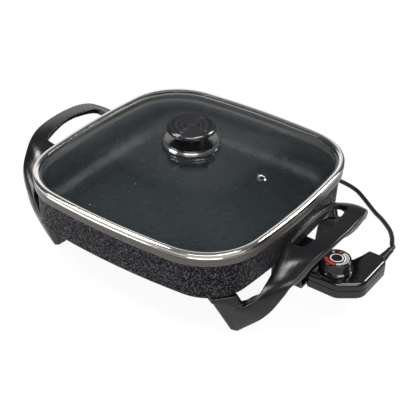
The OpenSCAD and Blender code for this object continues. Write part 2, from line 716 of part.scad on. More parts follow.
module contact_block() color("#2a2521") translate([pan_x, 0, 0]) difference() {
  translate([block_x, 0, 0]) rotate([90, 0, 90]) linear_extrude(block_end - block_x)
    polygon(rounded(
      [[-block_half_w, block_z], [block_half_w, block_z],
       [block_half_w, block_top], [-block_half_w, block_top]], [1.5, 1.5, 1.5, 1.5], 3));
  for (s = [-1, 1]) {
    along_x(block_x - 1, s * pin_half_gap, axis_z, sleeve_l + 1, sleeve_r + fit / 2);
    along_x(block_x, s * pin_half_gap, axis_z, block_l + 1, wire_r + 0.3);
  }
  along_x(block_x - 1, 0, axis_z, block_l + 2, rod_r + fit / 2);
}

module contact_sleeves() color("#c9b37a") translate([pan_x, 0, 0])
  for (s = [-1, 1]) difference() {
    along_x(block_x + 0.5, s * pin_half_gap, axis_z, sleeve_l - 0.5, sleeve_r);
    along_x(block_x, s * pin_half_gap, axis_z, sleeve_l - 1.5, pin_r + run_fit);
  }

module sensor_rod() color("#c4c6c8") translate([pan_x, 0, 0]) {
  along_x(block_x - rod_l + rod_r, 0, axis_z, block_end - block_x + rod_l - rod_r, rod_r);
  translate([block_x - rod_l + rod_r, 0, axis_z]) sphere(r = rod_r);
}

// Upright and foot of the bracket behind the contact block
frame_t = 1.4;
stack_x = block_end + frame_t;
stack_w = 4;
module thermostat_frame() color("#a3a5a8") translate([pan_x + block_end, 0, 0]) {
  foot_z = control_z + case_wall;
  translate([0, -8, foot_z]) cube([22, 16, frame_t]);
  translate([0, -8, foot_z]) cube([frame_t, 16, axis_z + 3.4 - foot_z]);
}

leaf_z = [axis_z - 4.6, axis_z - 1.6];
leaf_t = 0.5;
strip_z = axis_z + 0.6;
strip_t = 0.8;

module insulator_stack() color("#e9e4d6") translate([pan_x + stack_x, -4, 0]) {
  foot_z = control_z + case_wall + frame_t;
  translate([0, 0, foot_z]) cube([stack_w, 8, leaf_z[0] - foot_z]);
  translate([0, 0, leaf_z[0] + leaf_t]) cube([stack_w, 8, leaf_z[1] - leaf_z[0] - leaf_t]);
  translate([0, 0, leaf_z[1] + leaf_t]) cube([stack_w, 8, strip_z - leaf_z[1] - leaf_t]);
}

module contact_leaves() color("#c8864a") translate([pan_x + stack_x, 0, 0])
  for (i = [0, 1]) {
    translate([0, -2.5, leaf_z[i]]) cube([17 - 3 * i, 5, leaf_t]);
    translate([12, 0, i == 0 ? leaf_z[0] + leaf_t : leaf_z[1] - 0.9])
      cylinder(h = 0.9, r = 1.6);
  }

module bimetal_strip() color("#b0a184") translate([pan_x + stack_x, 0, strip_z]) {
  translate([0, -3, 0]) cube([19, 6, strip_t]);
  translate([16, 0, -1.2]) cylinder(h = 1.2, r = 1);
}

lamp_r = 2.9;
module neon_lamp() color("#f0d9c8", 0.8)
  translate([pan_x + lamp_at.x, lamp_at.y, control_z + case_wall + 4]) {
  h = control_h - 2 * case_wall - 5.2;
  cylinder(h = h - lamp_r, r = lamp_r);
  translate([0, 0, h - lamp_r]) sphere(r = lamp_r);
}

module lamp_lens() color("#dfe2e4") translate([pan_x + lamp_at.x, lamp_at.y, control_top]) rotate(lamp_turn) {
  translate([-4, -1.3, -case_wall]) cube([8, 2.6, case_wall + 0.4]);
  translate([-4.8, -2, -case_wall - 0.8]) cube([9.6, 4, 0.8]);
}

wire_r = 1.1;
module lead_wires() color("#3b3b3d") {
  exit_y = relief_start - 1.4;
  start_x = pan_x + block_end - 8;
  low = control_z + case_wall + 4;
  skin(tube_rings(smooth([
    [start_x, pin_half_gap, axis_z], [start_x + 9, pin_half_gap, axis_z],
    [pan_x + dial_at + 4, 11, low + 4], [pan_x + arm_x - 10, 24, low + 3],
    [pan_x + arm_x - 5, 38, exit_z - 1], [pan_x + arm_x - 1.6, exit_y - 4, exit_z],
    [pan_x + arm_x - 1.6, exit_y, exit_z]], 2), wire_r, 6));
  skin(tube_rings(smooth([
    [start_x, -pin_half_gap, axis_z], [start_x + 9, -pin_half_gap, axis_z],
    [pan_x + dial_at + 6, -12, low + 1], [pan_x + arm_x - 7, 6, low],
    [pan_x + arm_x - 2, 34, low + 3], [pan_x + arm_x + 1.6, exit_y - 5, exit_z],
    [pan_x + arm_x + 1.6, exit_y, exit_z]], 2), wire_r, 6));
}

bush_r = 5;
bush_flange = 0.8;
bush_boss = 1.2;
module shaft_bush() color("#c9a94e") translate([pan_x + dial_at, 0, 0]) difference() {
  union() {
    translate([0, 0, control_top - case_wall - bush_boss]) cylinder(h = case_wall + bush_boss, r = bush_r);
    translate([0, 0, control_top]) cylinder(h = bush_flange, r = bush_r + 2);
  }
  cylinder(h = 200, r = shaft_r + run_fit);
}

// ------------------------------------------------------------- dial

skirt_out = 2.8;
skirt_gap = 0.5;
ribs = 30;
module dial_knob() color("#202023") translate([pan_x + dial_at, 0, control_top]) difference() {
  union() {
    rotate_extrude() polygon([
      [0, dial_h - 4], [0, dial_h], [dial_r - 1.6, dial_h], [dial_r - 1.6, dial_h + 0.6],
      [dial_r - 0.6, dial_h + 0.6], [dial_r, dial_h], [dial_r, dial_h - 1.6],
      [dial_r + 0.6, 5], [dial_r + skirt_out, 2.2], [dial_r + skirt_out, skirt_gap],
      [dial_r + skirt_out - 2, skirt_gap], [dial_r - 1.6, 5], [dial_r - 2, dial_h - 4]]);
    translate([0, 0, bush_flange + 0.4]) cylinder(h = dial_h - 4 - bush_flange, r = shaft_r + 2.5);
    for (i = [0:ribs - 1]) rotate(360 * i / ribs)
      translate([dial_r - 0.2, -0.5, 4.6]) cube([1, 1, dial_h - 6.4]);
  }
  translate([0, 0, -1]) cylinder(h = dial_h - 2, r = shaft_r + fit / 2);
}

module dial_plate() color("#111113") translate([pan_x + dial_at, 0, control_top + dial_h])
  rotate_extrude() polygon([
    [0, 0], [dial_r - 1.7, 0], [dial_r - 1.7, 0.35], [dial_r - 10, 0.35], [dial_r - 10.3, 0.8], [0, 0.8]]);

module dial_shaft() color("#a3a5a8") translate([pan_x + dial_at, 0, 0]) {
  tip_z = strip_z + strip_t + 0.3;
  translate([0, 0, tip_z]) cylinder(h = 0.8, r = 1.4);
  translate([0, 0, tip_z + 0.8]) cylinder(h = control_top + dial_h - 3 - tip_z - 0.8, r = shaft_r);
}

// The clip that keeps the shaft from lifting out of its bush
module shaft_clip() color("#a3a5a8") translate([pan_x + dial_at, 0, control_top - case_wall - bush_boss - 0.8])
  difference() {
    cylinder(h = 0.7, r = shaft_r + 1.7);
    translate([0, 0, -1]) cylinder(h = 3, r = shaft_r);
    translate([0, -1.6, -1]) cube([10, 3.2, 3]);
  }

// -------------------------------------------------------------- cord

// The moulded boot: a flange inside the wall, then a taper with ribs.
module strain_relief() color("#18181a") translate([pan_x + arm_x, 0, exit_z]) rotate([-90, 0, 0]) {
  steps = 5;
  pitch = (relief_l - 9) / steps;
  rotate_extrude() polygon(concat(
    [[0, relief_start - 1.2], [relief_r + 1.4, relief_start - 1.2], [relief_r + 1.4, relief_start],
     [relief_r, relief_start], [relief_r, arm_l + 2]],
    [for (i = [0:steps - 1])
      let (y = arm_l + 2 + pitch * i, r = relief_r - (relief_r - tip_r) * i / steps)
      for (q = [[r - 0.9, y + 0.3], [r - 0.9, y + pitch * 0.4], [r, y + pitch * 0.5], [r, y + pitch]]) q],
    [[tip_r, relief_end - 1], [cord_d / 2 + 0.3, relief_end], [0, relief_end]]));
}

// The cord's route from the boot, over the table to the coil
cord_z = 4.1;
route = [
  [207.5, 94, 44], [200, 110, 40], [188, 130, 34], [174.5, 148, 27], [159, 166, 20], [144, 181, 14],
  [127, 199, 8], [108, 216, 5], [94, 226, cord_z], [78, 231.5, cord_z], [60, 234, cord_z],
  [40, 235.5, cord_z], [20, 237.5, cord_z]
];
exit_at = [pan_x + arm_x, relief_end, exit_z];
coil_at = [-5, 203];
coil_start_r = 35;
coil_turns = 2.5;
coil_pitch = 6.3;
layer_rise = 6.3;
tail_l = 37;
loop_rings = 24;
coil_in = [coil_at.x + cord_d, coil_at.y + coil_start_r, cord_z];

lead_path = concat(
  [exit_at],
  smooth(concat([exit_at + [0, cord_d, 0]], route, [coil_in + [cord_d, 0, 0]]), 4),
  [coil_in]);

// The coil winds in on the table, climbs in the half turn where it reverses, and winds out above.
function coil_r(t) = coil_start_r - coil_pitch * min(t, coil_turns - t);
function coil_z(t) = cord_z + layer_rise * min(1, max(0, 2 * (t - coil_turns / 2 + 0.25)));
turns_path = [
  for (i = [0:coil_turns * loop_rings])
    let (t = i / loop_rings, a = 90 + 360 * t)
    [coil_at.x + coil_r(t) * cos(a), coil_at.y + coil_r(t) * sin(a), coil_z(t)]
];
coil_out = [coil_at.x + tail_l, coil_at.y - coil_start_r, cord_z + layer_rise];
coil_path = concat([coil_in], turns_path, [coil_out]);

function path_length(p, i = 1) = i >= len(p) ? 0 : norm(p[i] - p[i - 1]) + path_length(p, i + 1);
coil_gap = min([
  for (i = [0:len(turns_path) - 1], j = [0:len(turns_path) - 1])
    if (j - i > loop_rings / 2) norm(turns_path[i] - turns_path[j])
]) - cord_d;
echo(coil_gap = coil_gap, cord_length = relief_l + path_length(lead_path) + path_length(coil_path));

module cord_lead() color("#141416") skin(tube_rings(lead_path, cord_d / 2, 10));
module cord_coil() color("#141416") skin(tube_rings(coil_path, cord_d / 2, 6));

// A strap round the coil's turns, on the side away from the plug
module cord_tie() color("#2c2c2f") translate([coil_at.x, coil_at.y, 0]) {
  strap = 0.9;
  in_r = coil_start_r - coil_pitch * 1.25 - cord_d / 2 - 0.4;
  out_r = coil_start_r + cord_d / 2 + 0.4;
  top = cord_z + layer_rise + cord_d / 2 + 0.3;
  low = cord_z - cord_d / 2 - 0.3;
  translate([-out_r - strap, -4, low - strap]) difference() {
    cube([out_r - in_r + 2 * strap, 8, top - low + 2 * strap]);
    translate([strap, -1, strap]) cube([out_r - in_r, 10, top - low]);
  }
}

plug_l = 38;
plug_half_w = 13;
plug_half_h = coil_out.z - 0.1;
module plug_body() color("#141416") translate(coil_out) rotate([90, 0, 90]) {
  grip = [[4, 4, 0], [5.5, 5.5, 3], [6.2, 6, 13], [9.5, 8.5, 20], [plug_half_w, plug_half_h, 28],
          [plug_half_w, plug_half_h, plug_l - 1], [plug_half_w - 1, plug_half_h - 1, plug_l]];
  skin([for (g = grip) lifted(rounded(
    [[-g[0], -g[1]], [g[0], -g[1]], [g[0], g[1]], [-g[0], g[1]]], [3, 3, 3, 3], 3), g[2])]);
}

module plug_blades() color("#d6c27a") translate(coil_out + [plug_l, 0, 0])
  for (s = [-1, 1]) translate([0, s * 6.35 - 0.75, -3.2]) difference() {
    cube([16, 1.5, 6.4]);
    translate([12, -1, 3.2]) rotate([-90, 0, 0]) cylinder(h = 4, r = 1.5);
  }

pan_body();
heating_element();
terminal_pins();
terminal_bushings();
sensor_guide();
socket_guard();
guard_screws();
handle_left();
handle_right();
handle_screws();
lid_glass();
lid_band();
lid_seal();
vent_grommet();
knob_gasket();
knob_ring();
knob_base();
knob_grip();
knob_washer();
knob_screw();
control_base();
control_cover();
control_screws();
contact_block();
contact_sleeves();
sensor_rod();
thermostat_frame();
insulator_stack();
contact_leaves();
bimetal_strip();
neon_lamp();
lamp_lens();
lead_wires();
shaft_bush();
strain_relief();
cord_lead();
cord_coil();
cord_tie();
plug_body();
plug_blades();
dial_knob();
dial_plate();
dial_shaft();
shaft_clip();
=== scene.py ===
"""The looks of an electric skillet with a lift-off glass lid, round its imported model.

Sizes are in millimetres, with x and y from the pan's centre line and z from the table.
The cord's route is the exception: like the model's own source, it is measured from the
frame's origin. Everything is turned to metres in the frame when its mesh is made.
"""

import logging
import math
from dataclasses import dataclass, field
from enum import Enum
from typing import Any, Sequence

import bmesh
import bpy
from mathutils import Matrix, Vector


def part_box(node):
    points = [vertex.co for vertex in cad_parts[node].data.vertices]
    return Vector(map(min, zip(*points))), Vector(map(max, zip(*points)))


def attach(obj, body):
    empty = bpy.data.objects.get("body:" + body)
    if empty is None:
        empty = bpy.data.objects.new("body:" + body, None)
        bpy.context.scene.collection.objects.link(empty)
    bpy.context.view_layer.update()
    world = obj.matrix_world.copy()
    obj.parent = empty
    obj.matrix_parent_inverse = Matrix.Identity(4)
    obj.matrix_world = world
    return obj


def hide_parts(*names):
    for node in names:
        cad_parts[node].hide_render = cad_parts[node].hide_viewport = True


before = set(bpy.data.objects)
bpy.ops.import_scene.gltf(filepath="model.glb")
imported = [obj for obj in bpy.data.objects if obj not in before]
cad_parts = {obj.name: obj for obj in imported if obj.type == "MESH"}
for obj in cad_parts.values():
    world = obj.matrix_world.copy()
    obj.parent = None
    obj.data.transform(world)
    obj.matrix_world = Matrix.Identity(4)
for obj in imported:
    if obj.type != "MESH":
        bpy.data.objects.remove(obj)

LOG = logging.getLogger("skillet")
MM = 0.001

Point2 = tuple[float, float]
Ring = list[Vector]


class Body(Enum):
    """The bodies that pieces ride on."""

    PAN = "pan"
    LID = "lid"
    CONTROL = "control"
    DIAL = "dial"


def pan_centre() -> float:
    """Gives the pan's centre line along x in the frame, in millimetres."""
    low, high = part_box("lid_band")
    return (low.x + high.x) / 2 / MM


PAN_X = pan_centre()


# ---------------------------------------------------------------- drawing


def arc(centre: Point2, radius: float, start: float, end: float, steps: int) -> list[Point2]:
    """Draws an arc.

    Args:
        centre: The arc's centre.
        radius: Its radius.
        start: The first angle in degrees.
        end: The last angle in degrees.
        steps: How many chords it has.

    Returns:
        The arc's points, both ends among them.
    """
    turns = [math.radians(start + (end - start) * i / steps) for i in range(steps + 1)]
    return [(centre[0] + radius * math.cos(a), centre[1] + radius * math.sin(a)) for a in turns]


def quarter_turn(steps: int) -> list[float]:
    """Gives the angles of a quarter turn in even steps, in radians."""
    return [math.pi / 2 * i / steps for i in range(steps + 1)]


def smooth(points: Sequence[Sequence[float]], steps: int) -> list[tuple[float, ...]]:
    """Draws a Catmull-Rom curve through points.

    Args:
        points: The points to pass through, of any dimension.
        steps: The steps in each span.

    Returns:
        The curve's points.
    """
    curve = []
    last = len(points) - 1
    for i in range(last):
        a, b, c, d = points[max(i - 1, 0)], points[i], points[i + 1], points[min(i + 2, last)]
        for j in range(steps):
            t = j / steps
            curve.append(tuple(
                0.5 * (2 * q + (r - p) * t + (2 * p - 5 * q + 4 * r - s) * t**2
                       + (3 * q - p - 3 * r + s) * t**3)
                for p, q, r, s in zip(a, b, c, d)))
    return [*curve, tuple(points[last])]


def rounded(corners: Sequence[Point2], radii: Sequence[float], steps: int = 10) -> list[Point2]:
    """Rounds a polygon's corners.

    Args:
        corners: The polygon, anticlockwise.
        radii: The radius at each corner.
        steps: The chords in each rounding.

    Returns:
        The rounded outline.
    """
    outline = []
    count = len(corners)
    for i, radius in enumerate(radii):
        here = Vector(corners[i])
        back = (Vector(corners[i - 1]) - here).normalized()
        ahead = (Vector(corners[(i + 1) % count]) - here).normalized()
        half = back.angle(ahead) / 2
        middle = here + (back + ahead).normalized() * radius / math.sin(half)
        start = here + back * radius / math.tan(half) - middle
        end = here + ahead * radius / math.tan(half) - middle
        first = math.degrees(math.atan2(start.y, start.x))
        turn = (math.degrees(math.atan2(end.y, end.x)) - first + 540) % 360 - 180
        outline += arc((middle.x, middle.y), radius, first, first + turn, steps)
    return outline


def drawn_in(corners: Sequence[Point2], inset: float) -> list[Point2]:
    """Draws an anticlockwise polygon in by an even inset.

    Args:
        corners: The polygon.
        inset: How far its sides move inwards.

    Returns:
        The smaller polygon.
    """
    moved = []
    for i, corner in enumerate(corners):
        before = (Vector(corner) - Vector(corners[i - 1])).normalized()
        after = (Vector(corners[(i + 1) % len(corners)]) - Vector(corner)).normalized()
        m, n = Vector((-before.y, before.x)), Vector((-after.y, after.x))
        place = Vector(corner) + (m + n) * (inset / (1 + m.dot(n)))
        moved.append((place.x, place.y))
    return moved


def lifted(outline: Sequence[Point2], height: float) -> Ring:
    """Gives a flat outline as a ring at one height."""
    return [Vector((x, y, height)) for x, y in outline]


def tube_rings(path: Sequence[Vector], radius: float, sides: int) -> list[Ring]:
    """Gives the rings of a round tube.

    Args:
        path: The tube's centre line.
        radius: Its radius.
        sides: The points in each ring.

    Returns:
        One ring for each point of the path.
    """
    rings = []
    for i, here in enumerate(path):
        along = (path[min(i + 1, len(path) - 1)] - path[max(i - 1, 0)]).normalized()
        across = Vector((0, 0, 1)).cross(along).normalized()
        up = along.cross(across)
        turns = [2 * math.pi * k / sides for k in range(sides)]
        rings.append([here + radius * (math.cos(a) * across + math.sin(a) * up) for a in turns])
    return rings


@dataclass(frozen=True)
class Outline:
    """The rounded square of the pan and lid: four bowed sides joined by corner arcs."""

    half_w: float = 154.0
    corner_r: float = 74.6
    bow: float = 3.6
    steps: int = 14

    def ring(self, inset: float, height: float, corner_r: float | None = None) -> Ring:
        """Draws the outline.

        Args:
            inset: How far inside the lid's edge it lies.
            height: Its height above the table.
            corner_r: Another corner radius, if the corners differ there.

        Returns:
            The ring.
        """
        r = self.corner_r if corner_r is None else corner_r
        run = self.half_w - self.corner_r
        side_r = (run * run + self.bow * self.bow) / (2 * self.bow)
        shift = self.half_w - side_r
        join = 45 + math.degrees(math.asin(shift / (side_r - r) / math.sqrt(2)))
        c = (side_r - r) * math.sin(math.radians(join))
        quarter = arc((shift, 0), side_r - inset, -join, join, self.steps)[:-1]
        quarter += arc((c, c), r - inset, join, 90 - join, self.steps)[:-1]
        turns = [(1, 0), (0, 1), (-1, 0), (0, -1)]
        return [Vector((x * co - y * si, x * si + y * co, height))
                for co, si in turns for x, y in quarter]


OUTLINE = Outline()


# ---------------------------------------------------------------- meshes


def linked(name: str, data: bpy.types.ID) -> bpy.types.Object:
    """Puts a mesh, a lamp or other data into the scene.

    Args:
        name: The new object's name.
        data: What it shows.

    Returns:
        The new object, at the origin.
    """
    thing = bpy.data.objects.new(name, data)
    bpy.context.scene.collection.objects.link(thing)
    return thing


class Shell:
    """Closed forms that make one piece, collected in millimetres from the pan's centre line."""

    def __init__(self, name: str, shift: Vector | None = None) -> None:
        """Starts an empty piece.

        Args:
            name: The piece's name.
            shift: Where its zero lies in the frame; the pan's centre line unless given.
        """
        self.name = name
        self.shift = Vector((PAN_X, 0, 0)) if shift is None else shift
        self.points: list[Vector] = []
        self.faces: list[tuple[int, ...]] = []
        self.looks: list[int] = []

    def skin(self, rings: Sequence[Ring], closed: bool = False, looks: Sequence[int] = ()) -> None:
        """Adds a skin over rings that have as many points each.

        Args:
            rings: The rings in order.
            closed: True if the last ring joins the first, and False to cap both ends.
            looks: The material of each band between two rings, 0 where none is given.
        """
        base, n, m = len(self.points), len(rings[0]), len(rings)
        self.points += [p for ring in rings for p in ring]
        for j in range(m if closed else m - 1):
            a, b = base + j * n, base + ((j + 1) % m) * n
            for i in range(n):
                k = (i + 1) % n
                self.faces.append((a + i, a + k, b + k, b + i))
                self.looks.append(looks[j] if j < len(looks) else 0)
        if not closed:
            self.faces.append(tuple(range(base + n - 1, base - 1, -1)))
            self.faces.append(tuple(range(base + (m - 1) * n, base + m * n)))
            self.looks += [looks[0] if looks else 0, looks[-1] if looks else 0]

    def revolve(self, profile: Sequence[Point2], place: Matrix | None = None, steps: int = 96,
                closed: bool = False) -> None:
        """Adds a profile of radius and height turned round the z axis.

        Args:
            profile: The profile's points.
            place: Where the turned form goes; on the centre line unless given.
            steps: The facets of a turn.
            closed: True if the profile's last point joins its first.
        """
        where = Matrix.Identity(4) if place is None else place
        turns = [2 * math.pi * i / steps for i in range(steps)]
        self.skin([[where @ Vector((r * math.cos(a), r * math.sin(a), z)) for a in turns]
                   for r, z in profile], closed=closed)

    def rod(self, start: Vector, end: Vector, radius: float, steps: int = 32) -> None:
        """Adds a plain round rod from one point to another.

        Args:
            start: The middle of its first end.
            end: The middle of its other end.
            radius: Its radius.
            steps: The facets of its side.
        """
        length = (end - start).length
        place = Matrix.Translation(start) @ (end - start).to_track_quat("Z", "Y").to_matrix().to_4x4()
        self.revolve([(radius, 0), (radius, length)], place, steps)

    def block(self, low: Sequence[float], high: Sequence[float]) -> None:
        """Adds an upright box between two corners."""
        plan = [(low[0], low[1]), (high[0], low[1]), (high[0], high[1]), (low[0], high[1])]
        self.skin([lifted(plan, low[2]), lifted(plan, high[2])])

    def hull(self, balls: Sequence[tuple[Vector, float]]) -> None:
        """Adds the tight skin round some balls.

        Args:
            balls: The centre and the radius of each ball.
        """
        form = bmesh.new()
        for centre, radius in balls:
            bmesh.ops.create_icosphere(form, subdivisions=3, radius=radius,
                                       matrix=Matrix.Translation(centre))
        found = bmesh.ops.convex_hull(form, input=form.verts)
        loose = {v for key in ("geom_interior", "geom_unused") for v in found[key]
                 if isinstance(v, bmesh.types.BMVert)}
        bmesh.ops.delete(form, geom=list(loose), context="VERTS")
        base = len(self.points)
        form.verts.index_update()
        self.points += [v.co.copy() for v in form.verts]
        self.faces += [tuple(base + v.index for v in f.verts) for f in form.faces]
        self.looks += [0] * len(form.faces)
        form.free()

    def make(self, merge: float = 0.002) -> bpy.types.Object:
        """Turns what was collected into an object in the frame, with its faces outwards.

        Args:
            merge: Points nearer than this many millimetres become one.

        Returns:
            The new object, at the origin.
        """
        mesh = bpy.data.meshes.new(self.name)
        mesh.from_pydata([(p + self.shift) * MM for p in self.points], [], self.faces)
        mesh.polygons.foreach_set("material_index", self.looks)
        form = bmesh.new()
        form.from_mesh(mesh)
        bmesh.ops.remove_doubles(form, verts=form.verts, dist=merge * MM)
        bmesh.ops.dissolve_degenerate(form, edges=form.edges, dist=merge * MM)
        bmesh.ops.recalc_face_normals(form, faces=form.faces)
        form.to_mesh(mesh)
        form.free()
        return linked(self.name, mesh)


def settle(piece: bpy.types.Object) -> bpy.types.Object:
    """Turns a piece's modifiers into its own plain mesh.

    Args:
        piece: The piece.

    Returns:
        The same piece, without modifiers.
    """
    bpy.context.view_layer.update()
    ready = piece.evaluated_get(bpy.context.evaluated_depsgraph_get())
    mesh = bpy.data.meshes.new_from_object(ready)
    piece.modifiers.clear()
    piece.data = mesh
    mesh.name = piece.name
    return piece


def carve(piece: bpy.types.Object, *cutters: Shell) -> bpy.types.Object:
    """Cuts closed forms out of a piece.

    Args:
        piece: The piece to cut.
        cutters: The forms to take away, one after the other.

    Returns:
        The piece with its new mesh.
    """
    for cutter in cutters:
        tool = cutter.make()
        cut = piece.modifiers.new("cut", "BOOLEAN")
        cut.operation, cut.solver, cut.object, cut.use_self = "DIFFERENCE", "EXACT", tool, True
        settle(piece)
        bpy.data.objects.remove(tool)
    return piece


def joined(name: str, *pieces: bpy.types.Object) -> bpy.types.Object:
    """Joins several objects' meshes into one new object.

    Args:
        name: The new object's name.
        pieces: The objects, which are removed.

    Returns:
        The new object.
    """
    form = bmesh.new()
    for piece in pieces:
        form.from_mesh(piece.data)
        bpy.data.objects.remove(piece)
    mesh = bpy.data.meshes.new(name)
    form.to_mesh(mesh)
    form.free()
    return linked(name, mesh)


def finish_piece(piece: bpy.types.Object, body: Body,
                 looks: Sequence[bpy.types.Material], stands_for: Sequence[str] = (),
                 sharp: float = 35.0) -> bpy.types.Object:
    """Shades a piece, gives it its finishes and puts it on its body.

    Args:
        piece: The piece, without modifiers.
        body: The body it rides on.
        looks: Its materials, by the material index of its faces.
        stands_for: The model's nodes that it replaces.
        sharp: Edges that turn more than this many degrees stay sharp.

    Returns:
        The same piece.
    """
    mesh = piece.data
    bands = [0] * len(mesh.polygons)
    mesh.polygons.foreach_get("material_index", bands)
    mesh.materials.clear()
    for look in looks:
        mesh.materials.append(look)
    mesh.polygons.foreach_set("material_index", bands)
    mesh.shade_smooth()
    mesh.set_sharp_from_angle(angle=math.radians(sharp))
    if stands_for:
        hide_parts(*stands_for)
    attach(piece, body.value)
    LOG.info("%s: %d faces on %s", piece.name, len(mesh.polygons), body.value)
    return piece


# ---------------------------------------------------------------- nodes


def add(tree: bpy.types.NodeTree, kind: str, inputs: dict[Any, Any] | None = None,
        **settings: Any) -> bpy.types.Node:
    """Adds one node to a material, world or geometry tree.

    Args:
        tree: The tree.
        kind: The node's type.
        inputs: A value, or a socket to link from, for each input by name or number.
        settings: The node's own settings.

    Returns:
        The node.
    """
    node = tree.nodes.new(kind)
    for key, value in settings.items():
        setattr(node, key, value)
    for key, value in (inputs or {}).items():
        if isinstance(value, bpy.types.NodeSocket):
            tree.links.new(value, node.inputs[key])
        else:
            node.inputs[key].default_value = value
    return node


def span(tree: bpy.types.NodeTree, value: bpy.types.NodeSocket, seen: Sequence[float],
         to: Sequence[Any], **options: Any) -> bpy.types.NodeSocket:
    """Maps a value from one range to another.

    Args:
        tree: The tree.
        value: The value's socket.
        seen: The two ends of its own range.
        to: What it becomes at each of them.
        options: Properties of the node.

    Returns:
        The new value's socket.
    """
    return add(tree, "ShaderNodeMapRange", {
        "Value": value, "From Min": seen[0], "From Max": seen[1], "To Min": to[0], "To Max": to[1]},
               **options).outputs["Result"]


def maths(tree: bpy.types.NodeTree, operation: str, *values: Any) -> bpy.types.NodeSocket:
    """Works out a number in a tree.

    Args:
        tree: The tree.
        operation: The node's operation.
        values: Its numbers, or the sockets that give them.

    Returns:
        The result's socket.
    """
    return add(tree, "ShaderNodeMath", dict(enumerate(values)), operation=operation).outputs[0]


def noise(tree: bpy.types.NodeTree, place: bpy.types.NodeSocket, size: float,
          detail: float = 2.0) -> bpy.types.Node:
    """Adds a cloudy pattern.

    Args:
        tree: The tree.
        place: The coordinates that it reads.
        size: The pattern's size in millimetres.
        detail: How many finer layers it has.

    Returns:
        The pattern's node.
    """
    return add(tree, "ShaderNodeTexNoise", {"Vector": place, "Scale": per_mm(size), "Detail": detail})


def colour(hex_text: str) -> tuple[float, float, float, float]:
    """Turns an sRGB hex colour into a linear one.

    Args:
        hex_text: The colour, as # and six digits.

    Returns:
        Linear red, green and blue, and a full alpha.
    """
    parts = [int(hex_text[i:i + 2], 16) / 255 for i in (1, 3, 5)]
    linear = [c / 12.92 if c <= 0.04045 else ((c + 0.055) / 1.055) ** 2.4 for c in parts]
    return (*linear, 1.0)


def per_mm(size: float) -> float:
    """Gives the texture scale, for coordinates in metres, of a pattern of a size in millimetres."""
    return 1 / (size * MM)


@dataclass(frozen=True)
class Finish:
    """A plain finish: one colour that drifts a little, with a fine grain in the surface."""

    name: str
    hex_colour: str
    roughness: float
    metallic: float = 0.0
    ior: float = 1.5
    drift: float = 0.12
    drift_mm: float = 30.0
    grain_mm: float = 0.8
    grain_depth_mm: float = 0.01
    rough_drift: float = 0.06

    def tree(self) -> tuple[bpy.types.Material, bpy.types.Node, bpy.types.NodeSocket]:
        """Starts the material.

        Returns:
            The material, its shader node, and the coordinates that its patterns read.
        """
        look = bpy.data.materials.new(self.name)
        look.use_nodes = True
        look.node_tree.nodes.clear()
        shader = add(look.node_tree, "ShaderNodeBsdfPrincipled", {
            "Base Color": colour(self.hex_colour), "Roughness": self.roughness,
            "Metallic": self.metallic})
        if not self.metallic:
            shader.inputs["IOR"].default_value = self.ior
        add(look.node_tree, "ShaderNodeOutputMaterial", {"Surface": shader.outputs["BSDF"]})
        place = add(look.node_tree, "ShaderNodeTexCoord").outputs["Object"]
        return look, shader, place

    def bumped(self, tree: bpy.types.NodeTree, shader: bpy.types.Node,
               height: bpy.types.NodeSocket, depth: float) -> None:
        """Raises the surface with a pattern.

        Args:
            tree: The material's tree.
            shader: Its shader node.
            height: The pattern.
            depth: How far it stands out, in millimetres.
        """
        bump = add(tree, "ShaderNodeBump", {"Height": height, "Distance": depth * MM})
        tree.links.new(bump.outputs["Normal"], shader.inputs["Normal"])

    def drifted(self, tree: bpy.types.NodeTree, shader: bpy.types.Node,
                place: bpy.types.NodeSocket) -> None:
        """Lets the colour and the roughness drift over the surface.

        Args:
            tree: The material's tree.
            shader: Its shader node.
            place: The coordinates.
        """
        cloud = noise(tree, place, self.drift_mm, 3.0).outputs["Fac"]
        base = colour(self.hex_colour)
        low = tuple(c * (1 - self.drift) for c in base[:3]) + (1.0,)
        high = tuple(min(1.0, c * (1 + self.drift)) for c in base[:3]) + (1.0,)
        mix = add(tree, "ShaderNodeMixRGB", {"Fac": cloud, "Color1": low, "Color2": high})
        tree.links.new(mix.outputs["Color"], shader.inputs["Base Color"])
        rough = span(tree, cloud, (0.3, 0.7), (self.roughness, self.roughness + self.rough_drift))
        tree.links.new(rough, shader.inputs["Roughness"])

    def build(self) -> bpy.types.Material:
        """Makes the material.

        Returns:
            The material, with its drift and its fine grain.
        """
        look, shader, place = self.tree()
        tree = look.node_tree
        self.drifted(tree, shader, place)
        self.bumped(tree, shader, noise(tree, place, self.grain_mm).outputs["Fac"], self.grain_depth_mm)
        return look


